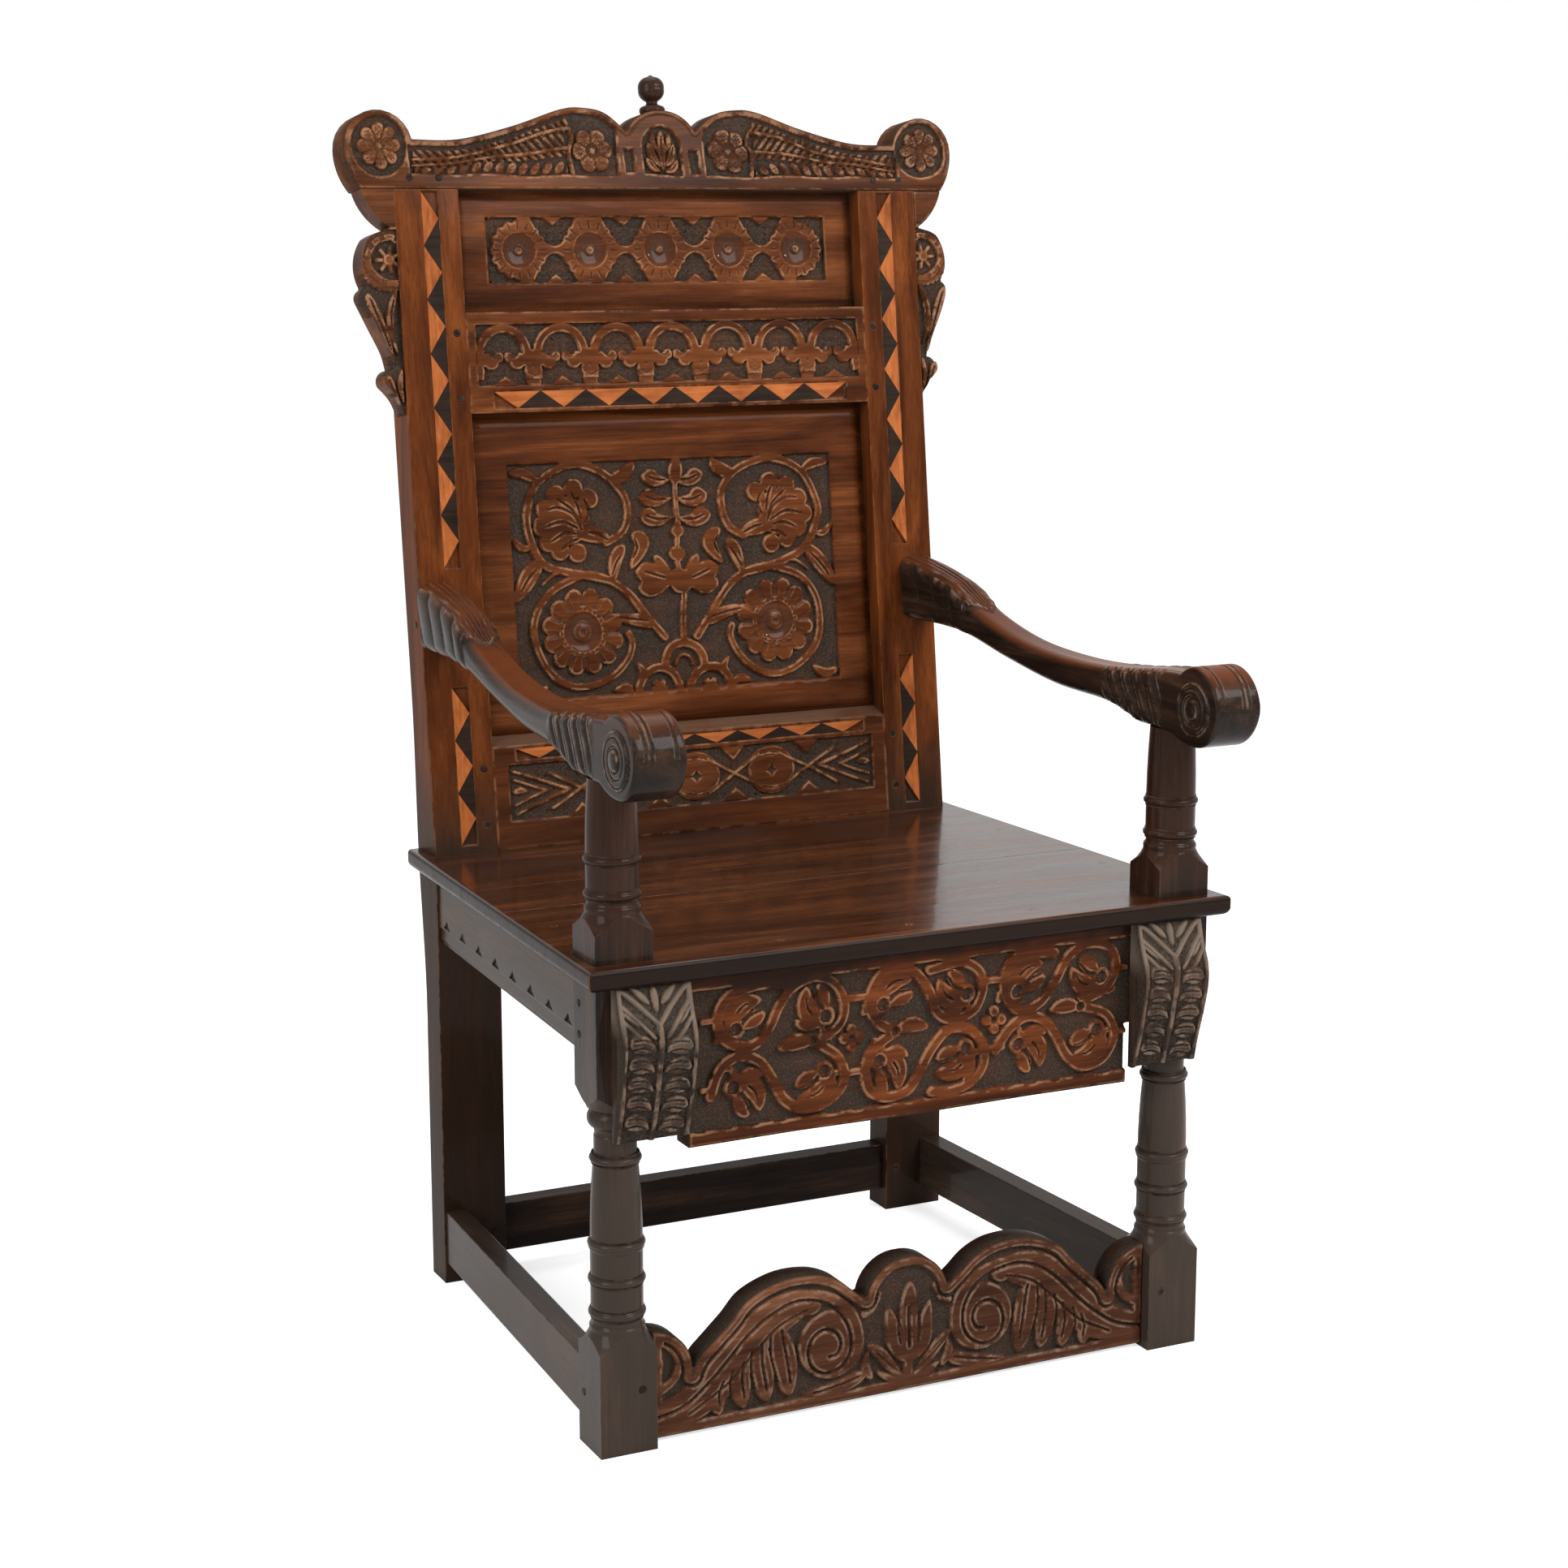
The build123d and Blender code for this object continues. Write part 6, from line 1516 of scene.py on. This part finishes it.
def joined(name, rings):
    bpy.ops.object.select_all(action="DESELECT")
    for one in rings:
        one.select_set(True)
    bpy.context.view_layer.objects.active = rings[0]
    bpy.ops.object.join()
    bpy.ops.object.transform_apply()
    bpy.ops.object.shade_smooth()
    rings[0].name = rings[0].data.name = name
    return rings[0]


for side, end in ((-1, "left"), (1, "right")):
    beads = [ring(side, radius - BEAD_SUNK, BEAD_THICK, height) for height, radius in BEADS]
    # Dark rings in the quirks: settled dirt, and in part painted shade.
    quirks = [ring(side, radius - QUIRK_SUNK, QUIRK_THICK, height + away)
              for height, radius in BEADS for away in (-QUIRK_AWAY, QUIRK_AWAY)]
    dress(joined("leg_beads_" + end, beads), leg_oak)
    dress(joined("leg_quirks_" + end, quirks), peg_oak)

# %% [markdown]
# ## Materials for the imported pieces
#
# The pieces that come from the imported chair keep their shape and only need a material. Each is found by
# the start of its name. The inlay gets two woods of its own, a pale one and a nearly black one, with the
# grain across on the rails and upright on the posts.

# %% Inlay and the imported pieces
def inlay(name, axis, low, high, gloss):
    """Thin slips of pale or dark wood, let into the oak and worn level with it."""
    material = bpy.data.materials.new(name)
    tree = blank(material)
    at = node(tree, "TexCoord").outputs["Object"]
    figure = noise(tree, stretched(tree, at, axis, 20.0, 260.0), 1.0, 5.0, 0.6)
    patch = noise(tree, at, 30.0, 4.0)
    both = plus(tree, times(tree, figure, 0.55), times(tree, patch, 0.45))
    colour = ramp(tree, both, (0.38, low), (0.62, high))
    bumps = node(tree, "Bump", {"Strength": 0.3, "Distance": 0.0005, "Height": figure}).outputs[0]
    roughness = fade(tree, patch, 0.3, 0.7, gloss, gloss + 0.15)
    looks = {"Base Color": colour, "Roughness": roughness, "Normal": bumps, "Specular IOR Level": 0.05}
    node(tree, "OutputMaterial", {"Surface": node(tree, "BsdfPrincipled", looks).outputs[0]})
    return material


pale_stile = inlay("pale inlay upright", "Z", (0.20, 0.050, 0.012), (0.43, 0.126, 0.033), 0.36)
pale_rail = inlay("pale inlay across", "X", (0.24, 0.062, 0.016), (0.46, 0.138, 0.038), 0.36)
dark_inlay = inlay("dark inlay", "X", (0.010, 0.006, 0.004), (0.028, 0.015, 0.009), 0.34)

PLAIN = {
    "back_post": post_oak, "ear_bracket": post_oak, "front_leg": leg_oak, "corbel": leg_oak,
    "arm": side_oak, "side_seat_rail": side_oak, "side_stretcher": side_oak,
    "inlay_light_stile": pale_stile, "inlay_light": pale_rail, "inlay_dark": dark_inlay,
    "seat_board": seat_oak, "back_seat_rail": rear_oak, "rear_stretcher": rear_oak,
    "crest_finial": leg_oak, "stretcher_pegs": peg_oak, "seat_frame_pegs": peg_oak,
}
for name, body in frame["nodes"].items():
    kinds = [material for start, material in PLAIN.items() if name.startswith(start)]
    material = kinds[0] if kinds else peg_oak if name.endswith("pegs") else rail_oak
    body.data.materials.clear()
    body.data.materials.append(material)
print("nodes with a material:", len(frame["nodes"]))

# %% [markdown]
# ## Floor, light and camera
#
# A pale floor keeps the chair's shadow. One broad light stands high on the right, a second and softer one
# on the left, which puts the long highlight on the arm and the grey sheen on the chair's left side.

# %% The floor
def seen_plainly(tree):
    """1 for the rays that show a thing to the camera, straight, mirrored or through glass; else 0."""
    rays = node(tree, "LightPath").outputs
    mirrored = sums(tree, "MAXIMUM", rays["Is Glossy Ray"], rays["Is Transmission Ray"])
    return sums(tree, "MAXIMUM", rays["Is Camera Ray"], mirrored)


bpy.ops.mesh.primitive_plane_add(size=30, location=(0, 0, 0))
floor = bpy.context.object
floor.name = "floor"
paper = bpy.data.materials.new("pale floor")
tree = blank(paper)
spot = noise(tree, node(tree, "TexCoord").outputs["Object"], 3.0)
shade = ramp(tree, spot, (0.3, (0.80, 0.80, 0.80)), (0.7, (0.84, 0.84, 0.84)))
matt = node(tree, "BsdfDiffuse", {"Color": shade}).outputs[0]
glow = fade(tree, seen_plainly(tree), 0, 1, 0, 0.68)
lift = node(tree, "Emission", {"Color": (1, 1, 1, 1), "Strength": glow})
both = node(tree, "AddShader", {0: matt, 1: lift.outputs[0]}).outputs[0]
node(tree, "OutputMaterial", {"Surface": both})
floor.data.materials.append(paper)

# %% World and lights
world = bpy.data.worlds.new("studio")
bpy.context.scene.world = world
tree = blank(world)
strength = fade(tree, seen_plainly(tree), 0.0, 1.0, 0.45, 1.0)
sky = node(tree, "Background", {"Color": (1, 1, 1, 1), "Strength": strength}).outputs[0]
node(tree, "OutputWorld", {"Surface": sky})


def softbox(name, at, target, size, power):
    """A broad area light turned to face a point."""
    aim = Vector(target) - Vector(at)
    bpy.ops.object.light_add(type="AREA", location=at, rotation=aim.to_track_quat("-Z", "Y").to_euler())
    lamp = bpy.context.object
    lamp.name = name
    lamp.data.shape = "RECTANGLE"
    lamp.data.size, lamp.data.size_y = size
    lamp.data.energy = power


MIDDLE = (0, 0, 0.55)
softbox("main softbox", (1.3, -2.2, 2.4), MIDDLE, (1.4, 1.4), 75)
softbox("left softbox", (-2.6, -1.0, 1.7), MIDDLE, (1.2, 2.0), 46)
softbox("top softbox", (0, 0.6, 3.0), MIDDLE, (2.0, 1.6), 30)
softbox("glint lamp", (2.6, -1.6, 2.2), MIDDLE, (0.12, 0.12), 15)

# %% The camera
CAMERA_AT = (-1.2143, LEG_FACE - 2.2028, 1.068)
LOOKS_DOWN, LOOKS_ASIDE = 11.087, -26.163
FOCAL_LENGTH, SENSOR_WIDTH = 66.62, 36
bpy.ops.object.camera_add(
    location=CAMERA_AT, rotation=(math.radians(90 - LOOKS_DOWN), 0, math.radians(LOOKS_ASIDE)),
)
camera = bpy.context.object
camera.data.lens = FOCAL_LENGTH
camera.data.sensor_width = SENSOR_WIDTH
bpy.context.scene.camera = camera
bpy.context.scene.view_settings.view_transform = "Standard"

# %% The end
bpy.context.view_layer.update()
